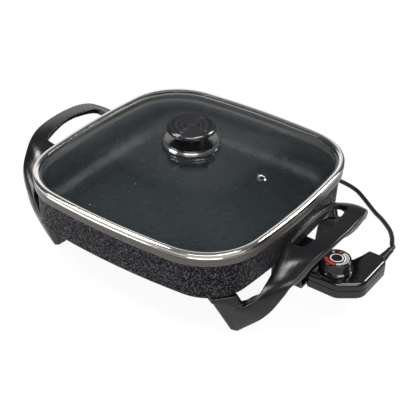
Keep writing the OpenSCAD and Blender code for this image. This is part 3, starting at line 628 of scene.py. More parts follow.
@dataclass(frozen=True)
class Crackle(Finish):
    """A coating that shrank into a net of raised wrinkles as it was baked."""

    cell_mm: float = 3.8
    ridge_mm: float = 0.8
    pebble_mm: float = 0.7
    patch_mm: float = 2.2
    valley_rough: float = 0.25
    # The paler colour painted on the ridge tops: a painted highlight for their glints.
    glint_paint_hex: str = "#6a686c"

    def build(self) -> bpy.types.Material:
        """Makes the material.

        Returns:
            The material: its wrinkles are bump, and their tops glossier and painted paler in patches:
                painted glints.
        """
        look, shader, place = self.tree()
        tree = look.node_tree
        bend = noise(tree, place, self.cell_mm * 1.4).outputs["Color"]
        pull = add(tree, "ShaderNodeVectorMath", {0: bend, 1: (self.cell_mm * MM * 1.1,) * 3},
                   operation="MULTIPLY").outputs[0]
        bent = add(tree, "ShaderNodeVectorMath", {0: place, 1: pull}, operation="ADD").outputs[0]
        cells = add(tree, "ShaderNodeTexVoronoi", {"Vector": bent, "Scale": per_mm(self.cell_mm)},
                    feature="DISTANCE_TO_EDGE").outputs["Distance"]
        ridge = span(tree, cells, (0.02, 0.22), (1.0, 0.0), interpolation_type="SMOOTHSTEP")
        pebbles = noise(tree, place, self.pebble_mm).outputs["Fac"]
        self.bumped(tree, shader, maths(tree, "ADD", ridge, pebbles), self.ridge_mm)
        # Painted highlight: in patches the ridge tops take the paler colour, standing in for glints. Their
        # roughness and specular level change as well.
        glint_patches = noise(tree, place, self.patch_mm).outputs["Fac"]
        top = maths(tree, "MULTIPLY", ridge, span(tree, glint_patches, (0.42, 0.62), (0.0, 1.0)))
        painted_glints = add(tree, "ShaderNodeMixRGB", {
            "Fac": top, "Color1": colour(self.hex_colour), "Color2": colour(self.glint_paint_hex)})
        tree.links.new(painted_glints.outputs["Color"], shader.inputs["Base Color"])
        for socket, low, high in (("Roughness", self.roughness + self.valley_rough, self.roughness),
                                  ("Specular IOR Level", 0.1, 0.6)):
            tree.links.new(span(tree, top, (0.0, 1.0), (low, high)), shader.inputs[socket])
        return look


@dataclass(frozen=True)
class Brushed(Finish):
    """A metal with fine parallel scratches round the piece, from a polishing wheel or brush."""

    scratch_mm: float = 0.5
    length_mm: float = 40.0

    def build(self) -> bpy.types.Material:
        """Makes the material.

        Returns:
            The material, with its scratches in the roughness and the bump.
        """
        look, shader, place = self.tree()
        tree = look.node_tree
        self.drifted(tree, shader, place)
        stretch = add(tree, "ShaderNodeMapping", {
            "Vector": place,
            "Scale": (per_mm(self.length_mm), per_mm(self.length_mm), per_mm(self.scratch_mm))})
        lines = add(tree, "ShaderNodeTexNoise", {
            "Vector": stretch.outputs[0], "Scale": 1.0, "Detail": 2.0}).outputs["Fac"]
        rough = span(tree, lines, (0.25, 0.75), (self.roughness, self.roughness + self.rough_drift))
        tree.links.new(rough, shader.inputs["Roughness"])
        self.bumped(tree, shader, lines, self.grain_depth_mm)
        return look


@dataclass(frozen=True)
class Clear(Finish):
    """Glass or clear plastic."""

    def build(self) -> bpy.types.Material:
        """Makes the material.

        Returns:
            The material, with the faint unevenness of a rolled sheet.
        """
        look, shader, place = self.tree()
        tree = look.node_tree
        shader.inputs["Transmission Weight"].default_value = 1.0
        wave = noise(tree, place, self.grain_mm, 1.0).outputs["Fac"]
        self.bumped(tree, shader, wave, self.grain_depth_mm)
        return look


class Finishes:
    """Every finish on the skillet, made once."""

    def __init__(self) -> None:
        """Builds the materials."""
        # Die-cast aluminium under a baked wrinkle enamel: near black, with glossier tops painted paler in
        # patches as painted glints.
        self.wrinkle = Crackle("wrinkle_enamel", "#0d0c10", 0.22, cell_mm=3.2, ridge_mm=1.0,
                               glint_paint_hex="#4a474f").build()
        # The same enamel, smooth on the rolled lip, with its near black lightened to grey-brown as a
        # painted sheen: a thin line that also mirrors softly.
        self.lip = Finish("smooth_enamel", "#4c4743", 0.2, grain_mm=1.2, grain_depth_mm=0.006).build()
        # Sprayed non-stick coating: charcoal and satin, with a fine pebble that breaks reflections.
        self.nonstick = Finish("nonstick_coating", "#15191d", 0.24, ior=1.52, drift=0.15, drift_mm=14,
                               grain_mm=0.9, grain_depth_mm=0.006, rough_drift=0.1).build()
        # Compression-moulded phenolic: black and glossy from the tool, with a little orange peel.
        self.phenolic = Finish("moulded_phenolic", "#0e0e10", 0.2, ior=1.55, grain_mm=2.4,
                               grain_depth_mm=0.006, rough_drift=0.1).build()
        # The same phenolic, buffed on the turned knob: its edges gleam white.
        self.buffed = Finish("buffed_phenolic", "#101013", 0.17, ior=2.0, grain_mm=2.4,
                             grain_depth_mm=0.003, rough_drift=0.05).build()
        # Injection-moulded ABS from a polished tool: the blackest piece, with crisp highlights.
        self.abs = Finish("moulded_abs", "#0b0b0d", 0.13, ior=1.65, grain_mm=3.0,
                          grain_depth_mm=0.003).build()
        # Polished stainless strip, rolled round the lid: a bright, slightly warm mirror.
        self.band = Brushed("polished_stainless", "#d6d3cd", 0.07, 1.0, grain_depth_mm=0.003,
                            rough_drift=0.06).build()
        # Stainless that was stamped and tumbled for the knob's ring: bright but soft.
        self.trim = Brushed("stamped_stainless", "#b9b8b6", 0.14, 1.0, grain_depth_mm=0.003).build()
        # Tempered soda-lime glass: clear, slightly green from its iron, with thin sharp reflections.
        self.glass = Clear("tempered_glass", "#edf5f3", 0.0, ior=1.46, grain_mm=60,
                           grain_depth_mm=0.02).build()
        # Frosted polycarbonate of the lamp's lens: a milky spot without a clear view in.
        self.lens = Clear("frosted_lens", "#e6e8ea", 0.35, ior=1.49, grain_mm=0.6,
                          grain_depth_mm=0.03).build()
        # Blown glass of the neon lamp: a faint orange bead behind the lens.
        self.bulb = Clear("neon_bulb", "#f6d9c8", 0.05, ior=1.45, grain_mm=2,
                          grain_depth_mm=0.01).build()
        # Silicone sealant under the glass: a matt dark line inside the band.
        self.sealant = Finish("silicone_sealant", "#1d1e1f", 0.55, grain_mm=1.5,
                              grain_depth_mm=0.03).build()
        # Extruded PVC sheath: matt black from the die.
        self.flex = Finish("pvc_sheath", "#121315", 0.42, grain_mm=0.7, grain_depth_mm=0.02).build()
        # Zinc-plated steel of screws and brackets: pale grey with a dull shine.
        self.zinc = Finish("zinc_plated_steel", "#b4b6b8", 0.28, 1.0, grain_depth_mm=0.01).build()
        # Steel sheath of the element, tinted by heat: patchy mid grey.
        self.sheath = Brushed("element_sheath", "#6f7072", 0.42, 1.0, drift=0.25,
                              scratch_mm=1.0).build()
        # Brass under nickel, of pins, sleeves and blades: pale gold.
        self.brass = Finish("nickel_brass", "#c8b483", 0.22, 1.0, grain_depth_mm=0.006).build()
        # Rolled copper alloy of the contact leaves: warm orange with a clean shine.
        self.copper = Finish("spring_copper", "#c07a4c", 0.26, 1.0, grain_depth_mm=0.006).build()
        # Unglazed steatite of the insulators: chalky cream.
        self.ceramic = Finish("steatite_ceramic", "#e6e0d2", 0.62, grain_mm=0.6,
                              grain_depth_mm=0.04).build()
        # Filled resin of the contact block: dull dark brown.
        self.resin = Finish("moulded_resin", "#2a2119", 0.5, grain_mm=0.9, grain_depth_mm=0.03).build()
        # Satin enamel on the dial's plate: a soft black under the print.
        self.face = Finish("satin_black_face", "#131315", 0.3, grain_depth_mm=0.004).build()
        # Screen-printed inks: flat and even, a hair above the plate.
        self.white_ink, self.grey_ink, self.red_ink = (
            Finish(name, shade, 0.5, drift=drift, grain_depth_mm=0.004).build()
            for name, shade, drift in (("white_ink", "#efefed", 0.04), ("grey_ink", "#84868a", 0.04),
                                       ("red_ink", "#b8261f", 0.06)))


# ------------------------------------------------------- repeated pieces


class Repeat:
    """Geometry trees that place copies of a unit, with their sizes as named inputs."""

    def __init__(self, name: str, sockets: Sequence[tuple[str, str, Any]]) -> None:
        """Starts a tree.

        Args:
            name: The tree's name.
            sockets: The name, type and first value of each size that it takes.
        """
        self.tree = bpy.data.node_groups.new(name, "GeometryNodeTree")
        face = self.tree.interface
        face.new_socket("Geometry", in_out="INPUT", socket_type="NodeSocketGeometry")
        self.keys = {}
        for label, kind, value in [("Unit", "NodeSocketObject", None),
                                   ("Finish", "NodeSocketMaterial", None), *sockets]:
            socket = face.new_socket(label, in_out="INPUT", socket_type=kind)
            if value is not None:
                socket.default_value = value
            self.keys[label] = socket.identifier
        face.new_socket("Geometry", in_out="OUTPUT", socket_type="NodeSocketGeometry")
        self.inputs = add(self.tree, "NodeGroupInput").outputs

    def spread(self, points: bpy.types.NodeSocket, turn: bpy.types.NodeSocket | None,
               scale: bpy.types.NodeSocket | None) -> None:
        """Ends the tree: copies on the points, made real, with their finish.

        Args:
            points: The points' socket.
            turn: Each copy's rotation, or None.
            scale: Each copy's scale, or None.
        """
        unit = add(self.tree, "GeometryNodeObjectInfo", {"Object": self.inputs["Unit"]})
        links = {"Points": points, "Instance": unit.outputs["Geometry"]}
        if turn is not None:
            links["Rotation"] = turn
        if scale is not None:
            links["Scale"] = scale
        copies = add(self.tree, "GeometryNodeInstanceOnPoints", links)
        real = add(self.tree, "GeometryNodeRealizeInstances", {"Geometry": copies.outputs["Instances"]})
        dressed = add(self.tree, "GeometryNodeSetMaterial", {
            "Geometry": real.outputs["Geometry"], "Material": self.inputs["Finish"]})
        add(self.tree, "NodeGroupOutput", {"Geometry": dressed.outputs["Geometry"]})

    def run(self, name: str, unit: bpy.types.Object, look: bpy.types.Material,
            **sizes: Any) -> bpy.types.Object:
        """Runs the tree on an empty mesh and keeps the result as a plain mesh.

        Args:
            name: The new piece's name.
            unit: The object to copy, which is removed afterwards.
            look: The copies' material.
            sizes: The tree's sizes by input name, with _ for a space.

        Returns:
            The new piece.
        """
        piece = linked(name, bpy.data.meshes.new(name))
        modifier = piece.modifiers.new(name, "NODES")
        modifier.node_group = self.tree
        modifier[self.keys["Unit"]] = unit
        modifier[self.keys["Finish"]] = look
        for label, value in sizes.items():
            modifier[self.keys[label.replace("_", " ")]] = value
        settle(piece)
        bpy.data.objects.remove(unit)
        return piece


class AroundAxis(Repeat):
    """Copies of a unit in a ring round an upright axis, such as ribs and graduation marks."""

    def __init__(self) -> None:
        """Builds the tree."""
        super().__init__("around_axis", [
            ("Count", "NodeSocketInt", 8), ("Radius", "NodeSocketFloat", 0.01),
            ("First Angle", "NodeSocketFloat", 0.0), ("Step Angle", "NodeSocketFloat", 0.1),
            ("Centre", "NodeSocketVector", (0.0, 0.0, 0.0))])
        tree, sizes = self.tree, self.inputs
        index = add(tree, "GeometryNodeInputIndex").outputs[0]
        angle = maths(tree, "MULTIPLY_ADD", index, sizes["Step Angle"], sizes["First Angle"])
        flat = add(tree, "ShaderNodeCombineXYZ", {
            0: maths(tree, "COSINE", angle), 1: maths(tree, "SINE", angle)}).outputs[0]
        reach = add(tree, "ShaderNodeVectorMath", {0: flat, "Scale": sizes["Radius"]},
                    operation="SCALE").outputs[0]
        spot = add(tree, "ShaderNodeVectorMath", {0: reach, 1: sizes["Centre"]},
                   operation="ADD").outputs[0]
        points = add(tree, "GeometryNodePoints", {"Count": sizes["Count"], "Position": spot})
        turn = add(tree, "ShaderNodeCombineXYZ", {2: angle}).outputs[0]
        self.spread(points.outputs[0], turn, None)


class AlongTaper(Repeat):
    """Copies of a ring along the y axis that shrink step by step, such as the ribs of a cord's boot."""

    def __init__(self) -> None:
        """Builds the tree."""
        super().__init__("along_taper", [
            ("Count", "NodeSocketInt", 5), ("Pitch", "NodeSocketFloat", 0.004),
            ("Start", "NodeSocketVector", (0.0, 0.0, 0.0)), ("Shrink", "NodeSocketFloat", 0.06)])
        tree, sizes = self.tree, self.inputs
        index = add(tree, "GeometryNodeInputIndex").outputs[0]
        reach = maths(tree, "MULTIPLY", index, sizes["Pitch"])
        step = add(tree, "ShaderNodeCombineXYZ", {1: reach}).outputs[0]
        spot = add(tree, "ShaderNodeVectorMath", {0: step, 1: sizes["Start"]}, operation="ADD")
        points = add(tree, "GeometryNodePoints", {"Count": sizes["Count"], "Position": spot.outputs[0]})
        scale = maths(tree, "SUBTRACT", 1.0, maths(tree, "MULTIPLY", index, sizes["Shrink"]))
        squeeze = add(tree, "ShaderNodeCombineXYZ", {0: scale, 1: 1.0, 2: scale}).outputs[0]
        self.spread(points.outputs[0], None, squeeze)


class SoftEdges:
    """A tree that welds a node's loose triangles and shades its curved faces smoothly."""

    def __init__(self, limit_deg: float = 32.0) -> None:
        """Builds the tree.

        Args:
            limit_deg: Edges that turn more than this stay sharp.
        """
        self.tree = bpy.data.node_groups.new("soft_edges", "GeometryNodeTree")
        face = self.tree.interface
        face.new_socket("Geometry", in_out="INPUT", socket_type="NodeSocketGeometry")
        face.new_socket("Geometry", in_out="OUTPUT", socket_type="NodeSocketGeometry")
        start = add(self.tree, "NodeGroupInput").outputs[0]
        weld = add(self.tree, "GeometryNodeMergeByDistance", {"Geometry": start, "Distance": 1e-6})
        angle = add(self.tree, "GeometryNodeInputMeshEdgeAngle").outputs[0]
        gentle = add(self.tree, "FunctionNodeCompare", {0: angle, 1: math.radians(limit_deg)},
                     operation="LESS_THAN").outputs[0]
        faces = add(self.tree, "GeometryNodeSetShadeSmooth", {"Geometry": weld.outputs[0]},
                    domain="FACE")
        edges = add(self.tree, "GeometryNodeSetShadeSmooth", {
            "Geometry": faces.outputs[0], "Shade Smooth": gentle}, domain="EDGE")
        add(self.tree, "NodeGroupOutput", {"Geometry": edges.outputs[0]})

    def dress(self, node: str, look: bpy.types.Material) -> None:
        """Gives one of the model's own nodes its finish and soft shading.

        Args:
            node: The node's name.
            look: Its material.
        """
        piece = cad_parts[node]
        if not piece.material_slots:
            piece.data.materials.append(look)
        for place in piece.material_slots:
            place.material = look
        modifier = piece.modifiers.new("soft_edges", "NODES")
        modifier.node_group = self.tree
        LOG.info("%s: the model's own, in %s", node, look.name)


# ---------------------------------------------------------------- studio


def facing(place: Sequence[float], target: Sequence[float]) -> Matrix:
    """Turns a camera or a lamp towards a point.

    Args:
        place: Where it stands.
        target: The point.

    Returns:
        Its place and turn.
    """
    turn = (Vector(target) - Vector(place)).to_track_quat("-Z", "Y")
    return Matrix.Translation(place) @ turn.to_matrix().to_4x4()


@dataclass(frozen=True)
class Softbox:
    """A lamp behind a flat diffuser, in metres and watts."""

    name: str
    place: tuple[float, float, float]
    size: Point2
    power: float
    only: tuple[str, ...] = ()


@dataclass(frozen=True)
class PaleWall:
    """A pale part of the studio's wall, round a direction."""

    towards: tuple[float, float, float]
    edge: Point2
    white: float


@dataclass
class Studio:
    """Camera, lights, floor and world."""

    camera_at: tuple[float, float, float] = (0.57597, -0.81529, 0.74326)
    target: tuple[float, float, float] = (0.06113, -0.06829, 0.1205)
    roll_deg: float = 1.53
    lens: float = 87.4
    floor_size: float = 12.0
    floor_share: float = 0.88
    shown_white: float = 1.04
    near_floor: Point2 = (0.38, 0.54)
    near_white: Point2 = (1.0, 0.05)
    left_floor: Point2 = (-0.14, -0.26)
    left_white: Point2 = (0.6, 1.0)
    sky: tuple[tuple[float, str], ...] = ((0.0, "#77787a"), (0.2, "#5a5c60"), (0.7, "#5a5c60"),
                                          (0.9, "#8a8c90"))
    walls: tuple[PaleWall, ...] = (PaleWall((0.467, -0.68, 0.4), (0.6, 0.9), 0.3),
                                   PaleWall((-0.467, 0.68, 0.566), (0.93, 0.99), 0.16))
    aim: tuple[float, float, float] = (0, 0, 0.1)
    boxes: tuple[Softbox, ...] = (
        Softbox("key_softbox", (1.05, -1.5, 0.95), (1.7, 0.8), 17),
        Softbox("right_softbox", (1.05, -0.25, 1.35), (0.8, 0.8), 11),
        Softbox("left_softbox", (-0.75, -0.62, 1.35), (0.4, 0.4), 8),
        Softbox("rear_softbox", (0.78, 1.1, 0.92), (0.5, 0.65), 14),
        Softbox("rim_card", (-1.05, 0.95, 0.55), (1.9, 0.9), 5.4,
                ("lid_rim", "knob_foot", "handle_left_moulding")),
        Softbox("low_softbox", (-1.0, -1.35, 0.5), (0.9, 0.6), 12),
    )

    def camera(self) -> None:
        """Puts the camera where the photograph was taken from."""
        data = bpy.data.cameras.new("camera")
        data.lens = self.lens
        data.clip_start, data.clip_end = 0.05, 50
        view = linked("camera", data)
        view.matrix_world = (facing(self.camera_at, self.target)
                             @ Matrix.Rotation(math.radians(self.roll_deg), 4, "Z"))
        bpy.context.scene.camera = view

    def hang(self, box: Softbox) -> None:
        """Hangs one lamp.

        Args:
            box: What it is and where it hangs.
        """
        data = bpy.data.lights.new(box.name, "AREA")
        data.shape, data.energy = "RECTANGLE", box.power
        data.size, data.size_y = box.size
        lamp = linked(box.name, data)
        lamp.visible_transmission = False  # the glass lets its light in as it is
        lamp.matrix_world = facing(box.place, self.aim)
        if box.only:
            lit = bpy.data.collections.new(box.name)
            for piece in box.only:
                lit.objects.link(bpy.data.objects[piece])
            lamp.light_linking.receiver_collection = lit

    def direct_rays(self, tree: bpy.types.NodeTree) -> bpy.types.NodeSocket:
        """Finds the rays that show the background itself.

        Args:
            tree: The tree of the floor or the world.

        Returns:
            A socket that is 1 for camera rays, also those through the glass, and 0 for others.
        """
        rays = add(tree, "ShaderNodeLightPath").outputs
        plain = rays["Is Transmission Ray"]
        for depth in ("Diffuse Depth", "Glossy Depth"):
            plain = maths(tree, "MULTIPLY", plain, maths(tree, "LESS_THAN", rays[depth], 0.5))
        return maths(tree, "MAXIMUM", rays["Is Camera Ray"], plain)

    def world(self) -> None:
        """Makes the world: white to the camera, and a grey studio to everything else."""
        world = bpy.data.worlds.new("studio")
        bpy.context.scene.world = world
        world.use_nodes = True
        tree = world.node_tree
        tree.nodes.clear()
        towards = add(tree, "ShaderNodeTexCoord").outputs["Generated"]
        height = add(tree, "ShaderNodeSeparateXYZ", {0: towards}).outputs["Z"]
        ramp = add(tree, "ShaderNodeValToRGB", {"Fac": height})
        stops = ramp.color_ramp.elements
        first, *between, last = self.sky
        stops[0].color = colour(first[1])
        stops[1].position, stops[1].color = last[0], colour(last[1])
        for place, shade in between:
            stops.new(place).color = colour(shade)
        light = ramp.outputs["Color"]
        for wall in self.walls:
            nearness = add(tree, "ShaderNodeVectorMath", {0: towards, 1: wall.towards},
                           operation="DOT_PRODUCT").outputs["Value"]
            white = span(tree, nearness, wall.edge, (0.0, wall.white), interpolation_type="SMOOTHSTEP")
            light = add(tree, "ShaderNodeMixRGB", {"Fac": 1.0, "Color1": light, "Color2": white},
                        blend_type="ADD").outputs["Color"]
        studio = add(tree, "ShaderNodeBackground", {"Color": light, "Strength": 1.0})
        white = add(tree, "ShaderNodeBackground", {"Color": (1, 1, 1, 1), "Strength": 1.0})
        both = add(tree, "ShaderNodeMixShader", {
            0: self.direct_rays(tree), 1: studio.outputs[0], 2: white.outputs[0]})
        add(tree, "ShaderNodeOutputWorld", {"Surface": both.outputs[0]})

    def floor(self) -> None:
        """Lays a white sweep that shows white and keeps a soft shadow."""
        look = bpy.data.materials.new("white_sweep")
        look.use_nodes = True
        tree = look.node_tree
        tree.nodes.clear()
        paper = add(tree, "ShaderNodeBsdfDiffuse", {"Color": colour("#f2f2f2")})
        place = add(tree, "ShaderNodeTexCoord").outputs["Object"]
        out = add(tree, "ShaderNodeVectorMath", {0: place}, operation="LENGTH").outputs["Value"]
        side = add(tree, "ShaderNodeSeparateXYZ", {0: place}).outputs["X"]
        mirrored = maths(tree, "MULTIPLY", span(tree, out, self.near_floor, self.near_white),
                         span(tree, side, self.left_floor, self.left_white))
        direct = self.direct_rays(tree)
        strength = span(tree, direct, (0.0, 1.0), (mirrored, self.shown_white))
        white = add(tree, "ShaderNodeEmission", {"Color": (1, 1, 1, 1), "Strength": strength})
        glossy = add(tree, "ShaderNodeLightPath").outputs["Is Glossy Ray"]
        share = maths(tree, "MULTIPLY", maths(tree, "MAXIMUM", direct, glossy), self.floor_share)
        both = add(tree, "ShaderNodeMixShader", {0: share, 1: paper.outputs[0], 2: white.outputs[0]})
        add(tree, "ShaderNodeOutputMaterial", {"Surface": both.outputs[0]})
        half = self.floor_size / 2
        mesh = bpy.data.meshes.new("sweep")
        mesh.from_pydata([(-half, -half, 0), (half, -half, 0), (half, half, 0), (-half, half, 0)],
                         [], [(0, 1, 2, 3)])
        mesh.materials.append(look)
        sweep = linked("sweep", mesh)

    def build(self) -> None:
        """Sets up the whole studio."""
        bpy.context.scene.view_settings.view_transform = "Standard"
        self.world()
        self.floor()
        for box in self.boxes:
            self.hang(box)


# ---------------------------------------------------------------- cord


@dataclass
class MainsCord:
    """The cord from the control's boot over the table to its coil, with the boot and the plug."""

    looks: Finishes
    diameter: float = 5.6
    sides: int = 20
    exit: tuple[float, float, float] = (212.0, 82.0, 46.0)
    cord_z: float = 4.1
    route: list[tuple[float, float, float]] = field(default_factory=lambda: [
        (207.5, 94, 44), (200, 110, 40), (188, 130, 34), (174.5, 148, 27), (159, 166, 20),
        (144, 181, 14), (127, 199, 8), (108, 216, 5), (94, 226, 4.1), (78, 231.5, 4.1),
        (60, 234, 4.1), (40, 235.5, 4.1), (20, 237.5, 4.1)])
    coil_at: Point2 = (-5.0, 203.0)
    coil_start_r: float = 35.0
    coil_turns: float = 2.5
    coil_pitch: float = 6.3
    layer_rise: float = 6.3
    tail: float = 37.0
    steps_per_turn: int = 48
    plug_l: float = 38.0
    boot_l: float = 28.0
    boot_r: float = 5.4
    boot_ribs: int = 5
    rib_pitch: float = 3.9
    rib_shrink: float = 0.068
    tip_r: float = 3.8
    arm_l: float = 54.0

    def lead(self) -> list[Vector]:
        """Draws the lead.

        Returns:
            Its centre line, from the boot to the coil's first turn.
        """
        x, y, z = self.exit
        coil_in = (self.coil_at[0] + self.diameter, self.coil_at[1] + self.coil_start_r, self.cord_z)
        through = [(x, y + self.diameter, z), *self.route, (coil_in[0] + self.diameter, *coil_in[1:])]
        return [Vector(self.exit), *(Vector(p) for p in smooth(through, 6)), Vector(coil_in)]

    def coil(self) -> list[Vector]:
        """Draws the coil.

        Returns:
            Its centre line: in on the table, up where it turns back, and out above.
        """
        line = []
        for i in range(int(self.coil_turns * self.steps_per_turn) + 1):
            t = i / self.steps_per_turn
            a = math.radians(90 + 360 * t)
            r = self.coil_start_r - self.coil_pitch * min(t, self.coil_turns - t)
            rise = min(1.0, max(0.0, 2 * (t - self.coil_turns / 2 + 0.25)))
            line.append(Vector((self.coil_at[0] + r * math.cos(a), self.coil_at[1] + r * math.sin(a),
                                self.cord_z + self.layer_rise * rise)))
        return [*line, Vector(self.coil_out())]

    def coil_out(self) -> tuple[float, float, float]:
        """Gives the point where the cord goes into its plug."""
        return (self.coil_at[0] + self.tail, self.coil_at[1] - self.coil_start_r,
                self.cord_z + self.layer_rise)

    def plug(self) -> bpy.types.Object:
        """Makes the moulded plug, from its neck to its flat face.

        Returns:
            The plug.
        """
        shell = Shell("mains_plug", Vector(self.coil_out()))
        top = self.coil_out()[2] - 0.1
        sections = smooth([(4, 4, 0), (5.5, 5.5, 3), (6.2, 6, 13), (9.5, 8.5, 20), (13, top, 28)], 4)
        sections += [(13, top, self.plug_l - 1.2), (12.7, top - 0.3, self.plug_l - 0.5),
                     (12, top - 1, self.plug_l)]
        rings = []
        for half_w, half_h, reach in sections:
            corners = [(-half_w, -half_h), (half_w, -half_h), (half_w, half_h), (-half_w, half_h)]
            outline = rounded(corners, [min(3.0, half_w - 0.9, half_h - 0.9)] * 4, 8)
            rings.append([Vector((reach, y, z)) for y, z in outline])
        shell.skin(rings)
        return finish_piece(shell.make(), Body.CONTROL, [self.looks.flex], ["plug_body"])

    def boot(self) -> None:
        """Makes the tapered boot: a plain core, its flange in the case, and ribs along it."""
        x, _, z = self.exit
        place = Matrix.Rotation(math.radians(-90), 4, "X")
        shell = Shell("cord_boot", Vector((x, 0, z)))
        start, end = self.arm_l - 6.2, self.arm_l + self.boot_l
        shell.revolve([
            (0, start - 1.2), (self.boot_r + 1.4, start - 1.2), (self.boot_r + 1.4, start),
            (self.boot_r, start), (self.boot_r, self.arm_l + 2), (self.boot_r - 0.9, self.arm_l + 2.3),
            (self.tip_r - 0.5, end - 7), (self.tip_r, end - 5.5), (self.tip_r, end - 1),
            (self.tip_r - 0.5, end - 0.2), (self.diameter / 2 + 0.2, end), (0, end)], place, 48)
        core = shell.make()
        unit = Shell("boot_rib", Vector((0, 0, 0)))
        ring = [(self.boot_r - 1.3 + dr, dy) for dr, dy in
                [(0, 0), (0.9, 0.3), (1.3, 0.9), (1.3, 1.5), (0.9, 2.1), (0, 2.4)]]
        unit.revolve(ring, place, 40, closed=True)
        ribs = AlongTaper().run(
            "boot_ribs", unit.make(), self.looks.flex, Count=self.boot_ribs,
            Pitch=self.rib_pitch * MM, Shrink=self.rib_shrink,
            Start=(x * MM, (self.arm_l + 3.2) * MM, z * MM))
        finish_piece(joined("cord_boot", core, ribs), Body.CONTROL, [self.looks.flex],
                     ["strain_relief"])

    def build(self) -> None:
        lead, coil = self.lead(), self.coil()
        path = [*lead, *coil]
        shell = Shell("mains_cord", Vector((0, 0, 0)))
        shell.skin(tube_rings(path, self.diameter / 2, self.sides))
        cord = finish_piece(shell.make(), Body.CONTROL, [self.looks.flex],
                            ["cord_lead", "cord_coil"], 60)
        plug = self.plug()
        self.boot()


# ---------------------------------------------------------------- pan


@dataclass
class Pan:
    """The cast pan: outer wall, rolled lip, cooking surface and the ridge over the element."""

    looks: Finishes
    bottom: float = 57.0
    height: float = 55.7
    wall: float = 4.0
    floor: float = 4.0
    draft: float = 3.5
    fillet: float = 22.0
    base_corner_r: float = 62.0
    base_fillet: float = 6.0
    lip_inset: float = 0.8
    lip_out: float = 3.6
    lip_h: float = 8.4
    lip_roll: float = 1.2
    loop_r: float = 84.0
    sheath_r: float = 3.25
    bend_angle: float = 17.15
    loop_drop: float = 6.5
    groove_gap: float = 0.05
    ridge_drop: float = 7.5
    ridge_half_w: float = 6.0
    ridge_steps: int = 120
    boss_x: Point2 = (88.0, 134.0)
    boss_r: float = 8.0
    axis_z: float = 46.0
    guide_r: float = 4.23

    def section(self) -> tuple[list[Point2], list[int]]:
        """Draws the pan's section.

        Returns:
            The inset and height of each point, from the underside out, over the lip and in,
            and the finish of each band: 0 wrinkled, 1 the smooth lip, 2 the coating inside.
        """
        top = self.bottom + self.height
        wall_top = -self.lip_inset - self.lip_out
        wall_base = wall_top - self.draft
        inner = wall_base - self.wall
        outside = arc((wall_base - self.base_fillet, self.bottom + self.base_fillet),
                      self.base_fillet, -90, 0, 8)
        under = top - self.lip_h
        outside += [(wall_base + (wall_top - wall_base) * s, self.bottom + self.base_fillet
                     + (under - 3.2 - self.bottom - self.base_fillet) * s) for s in (0.25, 0.5, 0.75, 1)]
        outside += smooth([(wall_top + 0.1, under - 2.2), (wall_top + 0.6, under - 1.2),
                           (-1.8, under - 0.5), (-self.lip_inset - 0.2, under + 0.1),
                           (-self.lip_inset, under + 0.8)], 3)
        roll = self.lip_roll
        lip = arc((-self.lip_inset - roll, top - roll), roll, 0, 90, 6)
        lip += arc((wall_top - self.wall + roll, top - roll), roll, 90, 180, 6)
        inside = [(inner + (wall_top - self.wall - inner) * (1 - s), top - roll
                   - (top - roll - self.bottom - self.floor - self.fillet) * s) for s in (0.25, 0.5, 0.75)]
        inside += arc((inner - self.fillet, self.bottom + self.floor + self.fillet),
                      self.fillet, 0, -90, 18)
        outline = [*outside, *lip, *inside]
        lip_from = len(outside) - 9
        looks = [0] * lip_from + [1] * (len(outside) - lip_from + len(lip)) + [2] * len(inside)
        return outline, looks

    def ridge(self, shell: Shell) -> None:
        """Adds the arc of casting that holds the element, with the groove that the sheath lies in.

        Args:
            shell: The form that it joins.
        """
        first, last = self.bend_angle + 5, 355 - self.bend_angle
        low, high = self.bottom - self.ridge_drop, self.bottom + 1
        loop_z = self.bottom - self.loop_drop
        groove_r = self.sheath_r + self.groove_gap
        sink = math.degrees(math.asin((loop_z - low) / groove_r))
        near, far = self.loop_r - self.ridge_half_w, self.loop_r + self.ridge_half_w
        profile = [*arc((self.loop_r, loop_z), groove_r, -sink, 180 + sink, 16),
                   (near, low), (near, high), (far, high), (far, low)]
        rings = []
        for i in range(self.ridge_steps + 1):
            a = math.radians(first + (last - first) * i / self.ridge_steps)
            rings.append([Vector((r * math.cos(a), r * math.sin(a), z)) for r, z in profile])
        shell.skin(rings)

    def build(self) -> None:
        """Makes the pan's shell."""
        section, bands = self.section()
        rings = []
        for x, z in section:
            up = max(0.0, min(1.0, (z - self.bottom) / (self.height - self.lip_h)))
            corner = self.base_corner_r + (OUTLINE.corner_r - self.base_corner_r) * up
            rings.append(OUTLINE.ring(-x, z, corner))
        shell = Shell("pan_shell")
        shell.skin(rings, looks=bands)
        self.ridge(shell)
        boss = Shell("sensor_boss")
        a, b = self.boss_x
        boss.rod(Vector((a, 0, self.axis_z)), Vector((b, 0, self.axis_z)), self.boss_r, 48)
        boss.block((a, -self.boss_r + 2, self.axis_z), (b, self.boss_r - 2, self.bottom + 1))
        bore = Shell("sensor_bore")
        bore.rod(Vector((a + 4, 0, self.axis_z)), Vector((b + 1, 0, self.axis_z)), self.guide_r, 40)
        pieces = [shell.make(), carve(boss.make(), bore)]
        finish_piece(joined("pan_shell", *pieces), Body.PAN,
                     [self.looks.wrinkle, self.looks.lip, self.looks.nonstick], ["pan_body"])


# ---------------------------------------------------------------- handles


